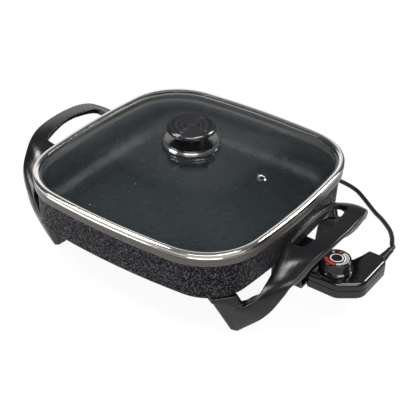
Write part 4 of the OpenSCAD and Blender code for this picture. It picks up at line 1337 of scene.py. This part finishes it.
@dataclass
class Handles:
    """The two one-piece mouldings, each a grip with its finger slot and two legs."""

    looks: Finishes
    reach: float = 209.0
    grip_z: float = 110.0
    grip_t: float = 6.0
    half_gap: float = 96.0
    foot_x: float = 127.0
    slot_half_l: float = 48.0
    slot_w: float = 25.0
    crown: float = 2.2
    lug_at: Point2 = (112.0, 112.0)
    lug_t: float = 6.0
    lug_r: float = 9.5
    screw_r: float = 2.2
    recess_r: float = 5.0
    pan_z: float = 57.0
    ball_r: float = 4.0
    edge_r: float = 1.3
    loft_steps: int = 8
    voxel: float = 0.75
    rounds: int = 2

    def rows(self) -> list[tuple[Point2, Point2, float]]:
        """Lays the moulding out, from a foot to the grip's middle.

        Returns:
            The inner edge, the outer edge and the thickness of each row.
        """
        fx, fy, r, z, t = self.foot_x, self.half_gap, self.reach, self.grip_z, self.grip_t
        return [
            ((fx, fy + 1, 0), (fx + 10, fy, 0), 13),
            ((fx, fy + 7, 14), (fx + 23, fy + 0.5, 14), 14),
            ((fx + 1, fy + 12, 28), (fx + 38, fy - 0.5, 30), 14),
            ((fx + 11, fy + 13, 40), (fx + 47.5, fy - 2.5, 43.5), 13),
            ((fx + 24, fy + 8, 49), (fx + 54, fy - 5.5, 56), t + 6),
            ((fx + 33, fy + 3.5, 60), (fx + 60, fy - 8, 69), t + 5),
            ((fx + 36, fy - 3, 72), (r - 17.5, fy - 13, z - 28), t + 4.5),
            ((fx + 37.5, fy - 14, 83), (r - 12, fy - 24, z - 17.5), t + 4),
            ((fx + 36, fy - 30, 94), (r - 7, fy - 40, z - 5), t + 2.5),
            ((fx + 31, fy - 56, 103), (r - 2, fy - 62, z + 0.5), t),
            ((fx + 29, 0, 106.5), (r, 0, z + 2), t - 1),
        ]

    def section(self, inner: Vector, outer: Vector, thick: float, up: Vector) -> Ring:
        """Draws one closed section of the moulding, crowned outside and with full round edges.

        Args:
            inner: Its inner edge.
            outer: Its outer edge.
            thick: Its thickness.
            up: The direction across it.

        Returns:
            The ring.
        """
        width = (outer - inner).length
        across = (outer - inner) / width
        r = min(self.edge_r, 0.46 * thick, 0.46 * width)
        flat = [width * s for s in (0.2, 0.35, 0.5, 0.65, 0.8)]
        outline = arc((r, r), r, 180, 270, 5) + [(x, 0) for x in flat]
        outline += arc((width - r, r), r, -90, 0, 5) + arc((width - r, thick - r), r, 0, 90, 5)
        outline += [(x, thick) for x in reversed(flat)] + arc((r, thick - r), r, 90, 180, 5)
        ring = []
        for x, y in outline:
            share = x / width
            ring.append(inner + across * x + up * (y - self.crown * 4 * share * (1 - share)))
        return ring

    def loft(self) -> bpy.types.Object:
        """Makes the moulding's main form and cuts its finger slot.

        Returns:
            The form, with its edges still square to the slot.
        """
        half = self.rows()
        front = [((a[0], -a[1], a[2]), (b[0], -b[1], b[2]), t) for a, b, t in half]
        rows = front + list(reversed(half))[1:]
        inner, outer = ([Vector(p) for p in smooth([r[side] for r in rows], self.loft_steps)]
                        for side in (0, 1))
        thick = [p[0] for p in smooth([(r[2],) for r in rows], self.loft_steps)]
        last = len(inner) - 1
        rings = []
        for i in range(last + 1):
            if i in (0, last):
                along = Vector((0, 0, 1 if i == 0 else -1))
            else:
                along = inner[i + 1] + outer[i + 1] - inner[i - 1] - outer[i - 1]
            up = along.cross(outer[i] - inner[i]).normalized()
            rings.append(self.section(inner[i], outer[i], thick[i], up))
        shell = Shell("handle_form")
        shell.skin(rings)
        slot_in, end = self.foot_x + 38, self.slot_half_l
        r = 0.4 * (self.slot_w - 6)
        plan = rounded([(slot_in, -end), (slot_in + self.slot_w - 6, -end), (slot_in + self.slot_w + 2, 0),
                        (slot_in + self.slot_w - 6, end), (slot_in, end)], [r, r, 90, r, r], 10)
        slot = Shell("slot")
        slot.skin([lifted(plan, 60), lifted(plan, 200)])
        return carve(shell.make(), slot)

    def lugs(self) -> bpy.types.Object:
        """Makes the plates under the pan's two corners, with the bores for their screws.

        Returns:
            Both plates as one object.
        """
        fx, fy, top, r = self.foot_x, self.half_gap, self.pan_z - self.ball_r, self.ball_r
        x, y = self.lug_at
        shell, cuts = Shell("lugs"), Shell("lug_cuts")
        for s in (-1, 1):
            shell.hull([(Vector((px, s * py, pz)), radius) for px, py, pz, radius in [
                (fx + 3.2, fy + 2.2, 3, 2.8), (fx - 5.5, fy + 27, top + 2, r),
                (fx + 9, fy + 10, top + 2, r), (fx + 15, fy + 6, 42, r)]])
            out = self.lug_r - r
            rim = [(Vector((x + out * math.cos(a), s * (y + out * math.sin(a)), z)), r)
                   for a in [math.pi * k / 6 for k in range(12)] for z in (top, self.pan_z + r)]
            shell.hull([(Vector((fx - 5.5, s * (fy + 27), top)), r),
                        (Vector((fx + 9, s * (fy + 10), top)), r), *rim])
            cuts.rod(Vector((x, s * y, 40)), Vector((x, s * y, 80)), self.screw_r)
            cuts.rod(Vector((x, s * y, 20)), Vector((x, s * y, self.pan_z - self.lug_t)), self.recess_r)
            cuts.block((60, s * 123 - 64, self.pan_z), (200, s * 123 + 64, 90))
        return carve(shell.make(), cuts)

    def build(self) -> None:
        """Makes both mouldings, one the mirror of the other."""
        right = joined("handle_right_moulding", self.loft(), self.lugs())
        remesh = right.modifiers.new("melt", "REMESH")
        remesh.mode, remesh.voxel_size = "VOXEL", self.voxel * MM
        ease = right.modifiers.new("ease", "SMOOTH")
        ease.factor, ease.iterations = 0.5, self.rounds
        settle(right)
        to_frame = Matrix.Translation((PAN_X * MM, 0, 0))
        flip = to_frame @ Matrix.Scale(-1, 4, (1, 0, 0)) @ to_frame.inverted()
        mesh = right.data.copy()
        mesh.transform(flip)
        mesh.flip_normals()
        left = linked("handle_left_moulding", mesh)
        for piece, node in ((right, "handle_right"), (left, "handle_left")):
            finish_piece(piece, Body.PAN, [self.looks.phenolic], [node], 70)


# ---------------------------------------------------------------- lid


@dataclass
class Lid:
    """The domed glass in its polished band, with its vent and knob."""

    looks: Finishes
    band_z: float = 113.0
    band_h: float = 7.5
    band_t: float = 0.8
    flange: float = 6.5
    seal_t: float = 1.2
    edge_gap: float = 1.0
    locate_inset: float = 9.2
    glass_t: float = 4.0
    rise: float = 26.0
    ring_r: float = 34.0
    disc_r: float = 28.5
    knob_h: float = 25.0
    waist_r: float = 13.0
    bore: float = 3.0
    vent_r: float = 3.4
    vent_at: Point2 = (97.5, -2.3)
    notch_deg: float = -64.0
    notch_r: float = 1.1
    glass_steps: int = 22
    lathe_steps: int = 128

    @property
    def glass_z(self) -> float:
        """The height of the glass's flat edge."""
        return self.band_z + self.band_t + self.seal_t

    @property
    def glass_half(self) -> float:
        """Half the glass's width."""
        return OUTLINE.half_w - self.band_t - self.edge_gap

    @property
    def glass_top(self) -> float:
        """The height of the glass's crown."""
        return self.glass_z + self.rise + self.glass_t

    def shares(self) -> Point2:
        """Gives the shares of the glass's half width where its dome ends and its crown starts."""
        flat = 1 - (self.flange + 1 - self.band_t - self.edge_gap) / self.glass_half
        return flat, (self.ring_r + 2) / self.glass_half

    def dome(self, share: float) -> float:
        """Finds the dome's height over its edge.

        Args:
            share: The share of the way out from the middle.

        Returns:
            The height there.
        """
        flat, crown = self.shares()
        if share >= flat:
            return 0.0
        return self.rise * (1 - (max(0.0, share - crown) / (flat - crown)) ** 2)

    def sweep(self, name: str, profile: Sequence[Point2]) -> bpy.types.Object:
        """Carries a closed profile round the lid's outline.

        Args:
            name: The new piece's name.
            profile: The inset, as a negative number, and the height of each point.

        Returns:
            The new piece.
        """
        rings = [OUTLINE.ring(-x, z) for x, z in profile]
        shell = Shell(name)
        shell.skin([[ring[i] for ring in rings] for i in range(len(rings[0]))], closed=True)
        return shell.make()

    def band(self) -> None:
        """Makes the rolled band and the sealant that the glass lies in."""
        top, bottom, t, bend = self.band_z + self.band_h, self.band_z, self.band_t, 1.6
        locate = -self.locate_inset
        outer = arc((-1.1, bottom + 1.2), 1.1, -60, 50, 8) + [(-0.5, bottom + 2.25), (-0.5, bottom + 2.7)]
        outer += arc((-bend, top - 0.5 - bend), bend, 0, 70, 8)
        outer += arc((-3.2, top - 7), 7, 75, 113, 8)
        inner = arc((-bend, top - 0.5 - bend), bend - t, 70, 0, 6)
        profile = [(-0.7, bottom), *outer, (-self.flange, top - 0.9),
                   (-self.flange + 0.2, top - 0.9 - t), (-3.2, top - t), *inner, (-t, bottom + t),
                   (locate - t, bottom + t), (locate - t, bottom - 2.5), (locate, bottom - 2.5),
                   (locate, bottom)]
        finish_piece(self.sweep("lid_rim", profile), Body.LID, [self.looks.band],
                     ["lid_band"])
        edge, inset = -t - self.edge_gap, 0.5 - self.flange
        seal = [(-t, bottom + t), (-t, self.glass_z + self.glass_t - 1),
                (edge, self.glass_z + self.glass_t - 1), (edge, self.glass_z), (inset, self.glass_z),
                (inset, bottom + t)]
        finish_piece(self.sweep("glass_bedding", seal), Body.LID, [self.looks.sealant],
                     ["lid_seal"])

    def glass(self) -> None:
        """Makes the glass dome and drills it."""
        flat, crown = self.shares()
        shares = [0.06, 0.12, crown, *(crown + (flat - crown) * i / self.glass_steps
                                       for i in range(1, self.glass_steps + 1)), 0.975, 1.0]
        edge = OUTLINE.ring(OUTLINE.half_w - self.glass_half, 0)

        def ring(share: float, lift: float) -> Ring:
            """Gives the glass's outline at a share of the way out, lifted off its underside."""
            height = self.glass_z + self.dome(share) + lift
            return [Vector((p.x * share, p.y * share, height)) for p in edge]

        shell = Shell("glass_dome")
        shell.skin([ring(s, 0) for s in shares] + [ring(s, self.glass_t) for s in reversed(shares)])
        drills = Shell("drills")
        drills.rod(Vector((0, 0, 100)), Vector((0, 0, 200)), self.bore + 1)
        drills.rod(Vector((*self.vent_at, 100)), Vector((*self.vent_at, 200)), self.vent_r)
        dome = finish_piece(carve(shell.make(), drills), Body.LID, [self.looks.glass],
                            ["lid_glass"], 40)
        dome.visible_shadow = False  # so that the lamps reach the pan through it

    def vent(self) -> None:
        """Makes the vent's rolled eyelet, square to the glass."""
        flat, crown = self.shares()
        reach = math.hypot(*self.vent_at)
        share = reach / self.glass_half
        lean = math.atan(2 * self.rise * (share - crown) / (flat - crown) ** 2 / self.glass_half)
        middle = self.glass_z + self.dome(share) + self.glass_t / 2
        place = (Matrix.Translation((*self.vent_at, middle))
                 @ Matrix.Rotation(math.atan2(self.vent_at[1], self.vent_at[0]), 4, "Z")
                 @ Matrix.Rotation(lean, 4, "Y"))
        half, r = self.glass_t / 2 + 1.1, self.vent_r
        shell = Shell("vent_eyelet")
        upper = [(r - 0.4, half - 0.7), (r + 1.6, half - 0.9), (r + 2, half - 0.5)]
        upper += arc((r + 0.5, half - 0.9), 0.9, 60, 150, 4) + [(r - 1, half - 0.9)]
        profile = [(r - 1, -half), (r + 1.6, -half), (r + 2, -half + 0.5), (r - 0.4, -half + 0.7), *upper]
        shell.revolve(profile, place, 48, closed=True)
        finish_piece(shell.make(), Body.LID, [self.looks.trim], ["vent_grommet"])

    def knob(self) -> None:
        """Makes the polished ring, the flared base and the turned grip of the knob."""
        z, r = self.glass_top, self.ring_r
        lift = Matrix.Translation((0, 0, z + 0.8))
        ring = Shell("knob_trim")
        ring.revolve([(r - 8, 0), *arc((r - 1.2, 1.2), 1.2, -90, 0, 6), (r - 0.8, 3.4), (r - 1.2, 4.2),
                      (r - 2.0, 4.6), (r - 3.2, 4.6), (r - 3.2, 1), (r - 8, 1)],
                     lift, self.lathe_steps, closed=True)
        turn = math.radians(self.notch_deg)
        out = Vector((math.cos(turn), math.sin(turn), 0))
        notch = Shell("notch")
        high = Vector((0, 0, z + 0.8 + 2.4))
        notch.rod(high + out * (r - 2.5), high + out * (r + 3), self.notch_r, 24)
        finish_piece(carve(ring.make(), notch), Body.LID, [self.looks.trim],
                     ["knob_ring"])
        h = self.knob_h - 11
        base = Shell("knob_foot")
        flare = [(self.waist_r + (r - 5 - self.waist_r) * (1 - math.sin(a)),
                  6.2 + (h - 7) * (1 - math.cos(a))) for a in quarter_turn(16)]
        base.revolve([(self.bore + 0.1, 2.5), (12, 2.5), (12, 0), (r - 9.2, 0), (r - 9.2, 1.8),
                      (r - 3.3, 1.8), (r - 3.3, 5.4), (r - 3.7, 6.0), *flare, (self.waist_r, h),
                      (self.bore + 0.1, h)],
                     Matrix.Translation((0, 0, z)), self.lathe_steps, closed=True)
        finish_piece(base.make(), Body.LID, [self.looks.buffed], ["knob_base"])
        d = self.disc_r
        grip = Shell("knob_disc")
        top = []
        for edge in (d - 5.8, d - 12.8, d - 18.6):
            top += [(edge - in_by, height) for in_by, height in (
                (0, 9.6), (0.5, 9.35), (0.9, 8.95), (1.5, 8.8), (2.1, 8.95), (2.5, 9.35), (3.0, 9.6))]
        grip.revolve([(0, 6.5), (self.bore + 0.05, 6.5), (self.bore + 0.05, 0), (self.waist_r - 1, 0),
                      (self.waist_r - 1, 1.4), *smooth([(d - 10, 2.0), (d - 7, 2.6), (d - 3.5, 3.4)], 3),
                      *arc((d - 4, 6.4), 4, -45, 75, 14), (d - 4.6, 10.1), (d - 5.3, 9.8), *top,
                      (3.5, 9.9), (0, 10.0)], Matrix.Translation((0, 0, z + h)), self.lathe_steps)
        finish_piece(grip.make(), Body.LID, [self.looks.buffed], ["knob_grip"])

    def build(self) -> None:
        """Makes the whole lid."""
        self.band()
        self.glass()
        self.vent()
        self.knob()


# ---------------------------------------------------------------- control


@dataclass
class HeatControl:
    """The plug-in control: two halves of its case, and the dial."""

    looks: Finishes
    bottom: float = 35.5
    height: float = 21.0
    reach: float = 238.0
    half_w: float = 24.0
    arm_l: float = 54.0
    arm_w: float = 23.0
    wall: float = 1.8
    case_x: float = 176.5
    dial_x: float = 199.0
    dial_r: float = 16.3
    dial_h: float = 14.0
    groove: float = 1.0
    boot_r: float = 5.4
    post_r: float = 3.6
    corner_radii: tuple[float, ...] = (3, 15, 17, 7, 5, 4, 5, 4, 3)
    lens_at: Point2 = (227.5, -1.5)
    lens_turn: float = -15.0
    ribs: int = 30
    face_lift: float = 0.35
    ink_t: float = 0.05
    ink_sunk: float = 0.02
    number_h: float = 4.0
    number_turns: dict[str, float] = field(default_factory=lambda: {
        "200": 62, "250": 34, "300": 6, "350": -22, "400": -50, "0": 138})
    dark_numbers: tuple[str, ...] = ("200", "250", "300")
    tick_count: int = 24
    tick_first: float = -62.0
    tick_step: float = 9.0

    @property
    def top(self) -> float:
        """The height of the case's top."""
        return self.bottom + self.height

    @property
    def split(self) -> float:
        """The height of the joint between the halves."""
        return self.bottom + 0.55 * self.height

    def ring(self, inset: float, height: float) -> Ring:
        """Draws the case's outline.

        Args:
            inset: How far inside the case's side it lies.
            height: Its height above the table.

        Returns:
            The ring.
        """
        r, w, far = self.reach, self.half_w, self.arm_l
        corners = [(self.case_x, -w), (r - 24, -w), (r, -w + 18), (r, far - 8), (r - 7, far),
                   (r - self.arm_w - 3, far), (r - self.arm_w - 6, far - 14),
                   (r - self.arm_w - 10, w + 4), (self.case_x, w + 4)]
        radii = [max(0.8, radius - inset) for radius in self.corner_radii]
        return lifted(rounded(drawn_in(corners, inset), radii, 10), height)

    def openings(self) -> Shell:
        """Gives the holes that both halves share.

        Returns:
            The cutters for the contact block and the cord's boot.
        """
        cuts = Shell("case_openings")
        cuts.block((141.5, -19, 41.3), (self.case_x + 13.5, 19, 50.7))
        x = self.reach - self.arm_w / 2
        y, z = self.arm_l - 6.2, self.bottom + self.height / 2
        cuts.rod(Vector((x, y, z)), Vector((x, y + 16, z)), self.boot_r + 0.05, 48)
        return cuts

    def posts(self, shell: Shell, low: float, high: float) -> None:
        """Adds the posts that the case's screws go through.

        Args:
            shell: The form that they join.
            low: The height of their feet.
            high: The height of their tops.
        """
        for x, y in [(self.dial_x + 3, -18.5), (self.dial_x + 3, 22),
                     (self.reach - 6, self.arm_l - 16)]:
            shell.rod(Vector((x, y, low)), Vector((x, y, high)), self.post_r, 32)

    def case(self) -> None:
        """Makes the two halves."""
        w = self.wall + 0.4
        bevel = [(2.2 * (1 - math.cos(a)), 2.6 * (1 - math.sin(a))) for a in quarter_turn(8)]
        base = Shell("control_tray")
        outer = [(0, self.split - self.groove), *[(d, self.bottom + z) for d, z in bevel]]
        base.skin([self.ring(w, self.bottom + self.wall), self.ring(w, self.split),
                   self.ring(1, self.split), self.ring(1, self.split - self.groove),
                   *[self.ring(d, z) for d, z in outer]])
        x = self.dial_x
        belly = [(x + 6, -self.half_w + 5), (self.reach - 18, -self.half_w + 5), (self.reach - 8, -4),
                 (x + 6, 12)]
        base.skin([lifted(rounded(drawn_in(belly, d), [8 - d] * 4, 8), self.bottom - 3 + z)
                   for d, z in [(5, 0), (3.4, 0.4), (2, 1.4), (1, 2.6), (0, 4)]])
        self.posts(base, self.bottom + 1, self.split)
        tray = carve(base.make(), self.openings())
        finish_piece(tray, Body.CONTROL, [self.looks.abs], ["control_base"], 40)
        cover = Shell("control_lid")
        shoulder = [(4 * (1 - math.cos(a)), 5.5 * math.sin(a)) for a in quarter_turn(12)]
        cover.skin([self.ring(w, self.top - self.wall), self.ring(w, self.split),
                    self.ring(0, self.split), *[self.ring(d, self.top - 5.5 + z) for d, z in shoulder]])
        self.posts(cover, self.split, self.top - 1)
        cover.rod(Vector((x, 0, self.top - self.wall - 1.2)), Vector((x, 0, self.top - 0.5)), 7.5, 40)
        cuts = self.openings()
        cuts.rod(Vector((x, 0, self.split)), Vector((x, 0, self.top + 20)), 5.03, 48)
        lens = Shell("lens_slot")
        turn = (Matrix.Translation((*self.lens_at, 0))
                @ Matrix.Rotation(math.radians(self.lens_turn), 4, "Z"))
        plan = [(-4.05, -1.35), (4.05, -1.35), (4.05, 1.35), (-4.05, 1.35)]
        lens.skin([[turn @ Vector((px, py, z)) for px, py in plan]
                   for z in (self.top - 10, self.top + 10)])
        finish_piece(carve(cover.make(), cuts, lens), Body.CONTROL, [self.looks.abs],
                     ["control_cover"], 40)

    def dial(self) -> None:
        """Makes the dial's cap, its ribs, its face and what is printed on it."""
        x, r, h = self.dial_x, self.dial_r, self.dial_h
        lift = Matrix.Translation((x, 0, self.top))
        cap = Shell("dial_cap")
        skirt = smooth([(r + 0.1, h - 2), (r + 0.6, 5), (r + 1.5, 3.4), (r + 2.8, 2.2)], 4)[1:]
        cap.revolve([(0, h - 4), (0, h), (r - 1.6, h), (r - 1.6, h + 0.5), (r - 1.3, h + 0.6),
                     (r - 0.7, h + 0.6), (r - 0.25, h + 0.35), (r, h - 0.1), (r, h - 1.6), *skirt,
                     (r + 2.8, 0.5), (r + 0.8, 0.5), (r - 1.6, 5), (r - 2, h - 4)], lift, 120)
        cap.rod(Vector((x, 0, self.top + 1.2)), Vector((x, 0, self.top + h - 3)), 5.4, 40)
        bore = Shell("dial_bore")
        bore.rod(Vector((x, 0, self.top - 1)), Vector((x, 0, self.top + h - 3)), 2.93, 32)
        body = carve(cap.make(), bore)
        rib = Shell("rib", Vector((0, 0, self.top)))
        outline = [(-0.6, -0.5), (0.55, -0.5), (0.8, -0.2), (0.8, 0.2), (0.55, 0.5), (-0.6, 0.5)]
        rib.skin([lifted(outline, 4.6), lifted(outline, h - 2.4),
                  lifted([(px - 0.5, py) for px, py in outline], h - 1.7)])
        centre = ((x + PAN_X) * MM, 0, 0)
        ribs = AroundAxis().run("dial_ribs", rib.make(), self.looks.abs, Count=self.ribs, Radius=r * MM,
                                Step_Angle=2 * math.pi / self.ribs, Centre=centre)
        finish_piece(joined("dial_cap", body, ribs), Body.DIAL, [self.looks.abs],
                     ["dial_knob"])
        face = Shell("dial_face")
        face.revolve([(0, 0), (r - 1.7, 0), (r - 1.7, self.face_lift), (r - 9.9, self.face_lift),
                      (r - 10.3, 0.8), (0, 0.8)], Matrix.Translation((x, 0, self.top + h)), 96)
        finish_piece(face.make(), Body.DIAL, [self.looks.face], ["dial_plate"])
        self.print_face()

    def arc_mark(self, name: str, radii: Point2, angles: Point2, lift: float) -> bpy.types.Object:
        """Makes one printed arc on the dial's face.

        Args:
            name: The mark's name.
            radii: Its inner and outer radius.
            angles: Its first and last angle in degrees.
            lift: Its height over the face's underside.

        Returns:
            The mark, as a thin closed form.
        """
        z = self.top + self.dial_h + lift
        middle = (self.dial_x, 0)
        flat = arc(middle, radii[1], *angles, 40) + arc(middle, radii[0], *reversed(angles), 40)
        shell = Shell(name)
        shell.skin([lifted(flat, z - self.ink_sunk), lifted(flat, z + self.ink_t)])
        return shell.make()

    def numeral(self, text: str, size: float, radius: float, angle: float) -> bpy.types.Object:
        """Makes one number on the dial's face, with its foot towards the centre.

        Args:
            text: The number.
            size: Its height.
            radius: Where it stands.
            angle: At what angle, in degrees.

        Returns:
            The number, as a thin closed form.
        """
        curve = bpy.data.curves.new("numeral", "FONT")
        curve.body, curve.size, curve.extrude = text, size * MM, 0.03 * MM
        curve.align_x = curve.align_y = "CENTER"
        curve.offset = 0.12 * MM
        curve.resolution_u = 3
        written = linked("numeral_" + text, curve)
        bpy.context.view_layer.update()
        mesh = bpy.data.meshes.new_from_object(
            written.evaluated_get(bpy.context.evaluated_depsgraph_get()))
        bpy.data.objects.remove(written)
        turn = math.radians(angle)
        place = Vector((self.dial_x + PAN_X + radius * math.cos(turn), radius * math.sin(turn),
                        self.top + self.dial_h + self.face_lift + self.ink_t)) * MM
        mesh.transform(Matrix.Translation(place) @ Matrix.Rotation(turn - math.pi / 2, 4, "Z"))
        return linked("numeral_" + text, mesh)

    def print_face(self) -> None:
        """Prints plain numbers, arcs and graduation marks on the dial."""
        def ink(piece: bpy.types.Object, look: bpy.types.Material) -> None:
            """Puts one printed piece on the dial."""
            finish_piece(piece, Body.DIAL, [look])

        r = self.dial_r
        numbers = {text: self.numeral(text, self.number_h, r - 4.8, angle)
                   for text, angle in self.number_turns.items()}
        ring = self.arc_mark("hub_ring", (r - 11.4, r - 8.8), (0, 359.9), self.face_lift)
        scale = self.arc_mark("scale_arc", (r - 7.2, r - 2.6), (-9, 78), self.face_lift)
        dark = [numbers.pop(text) for text in self.dark_numbers]
        ink(joined("dial_numbers", *numbers.values(), ring, scale), self.looks.white_ink)
        ink(joined("dark_numbers", *dark), self.looks.face)
        warm = self.arc_mark("warm_arc", (r - 6.6, r - 2.8), (208, 290), self.face_lift)
        off = self.arc_mark("off_arc", (r - 6.2, r - 3.2), (86, 108), self.face_lift)
        ink(joined("dial_arcs", warm, off), self.looks.red_ink)
        tick = Shell("tick", Vector((0, 0, 0)))
        z = self.top + self.dial_h + self.face_lift
        tick.block((-0.4, -0.16, z - self.ink_sunk), (0.4, 0.16, z + self.ink_t))
        centre = ((self.dial_x + PAN_X) * MM, 0, 0)
        ticks = AroundAxis().run("dial_ticks", tick.make(), self.looks.grey_ink, Count=self.tick_count,
                                 Radius=(r - 2.1) * MM, First_Angle=math.radians(self.tick_first),
                                 Step_Angle=math.radians(self.tick_step), Centre=centre)
        ink(ticks, self.looks.grey_ink)

    def build(self) -> None:
        """Makes the control's case and dial."""
        self.case()
        self.dial()


def dress_model(looks: Finishes) -> None:
    """Gives the model's own nodes that stay in sight, or inside, their real finishes.

    Args:
        looks: The skillet's finishes.
    """
    soft = SoftEdges()
    finishes = {
        looks.sheath: ["heating_element"],
        looks.brass: ["terminal_pins", "contact_sleeves", "shaft_bush", "plug_blades"],
        looks.ceramic: ["terminal_bushings", "insulator_stack"],
        looks.zinc: ["sensor_guide", "guard_screws", "handle_screws", "knob_washer", "knob_screw",
                     "control_screws", "sensor_rod", "thermostat_frame", "dial_shaft", "shaft_clip"],
        looks.phenolic: ["socket_guard"],
        looks.sealant: ["knob_gasket"],
        looks.resin: ["contact_block"],
        looks.copper: ["contact_leaves", "bimetal_strip"],
        looks.bulb: ["neon_lamp"],
        looks.lens: ["lamp_lens"],
        looks.flex: ["lead_wires", "cord_tie"],
    }
    for look, nodes in finishes.items():
        for node in nodes:
            soft.dress(node, look)


def main() -> None:
    """Builds the scene in order."""
    logging.basicConfig(level=logging.INFO, format="%(message)s")
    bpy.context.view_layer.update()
    studio = Studio()
    studio.camera()
    looks = Finishes()
    for assembly in (MainsCord, Pan, Handles, Lid, HeatControl):
        assembly(looks).build()
    dress_model(looks)
    studio.build()


if __name__ == "__main__":
    main()
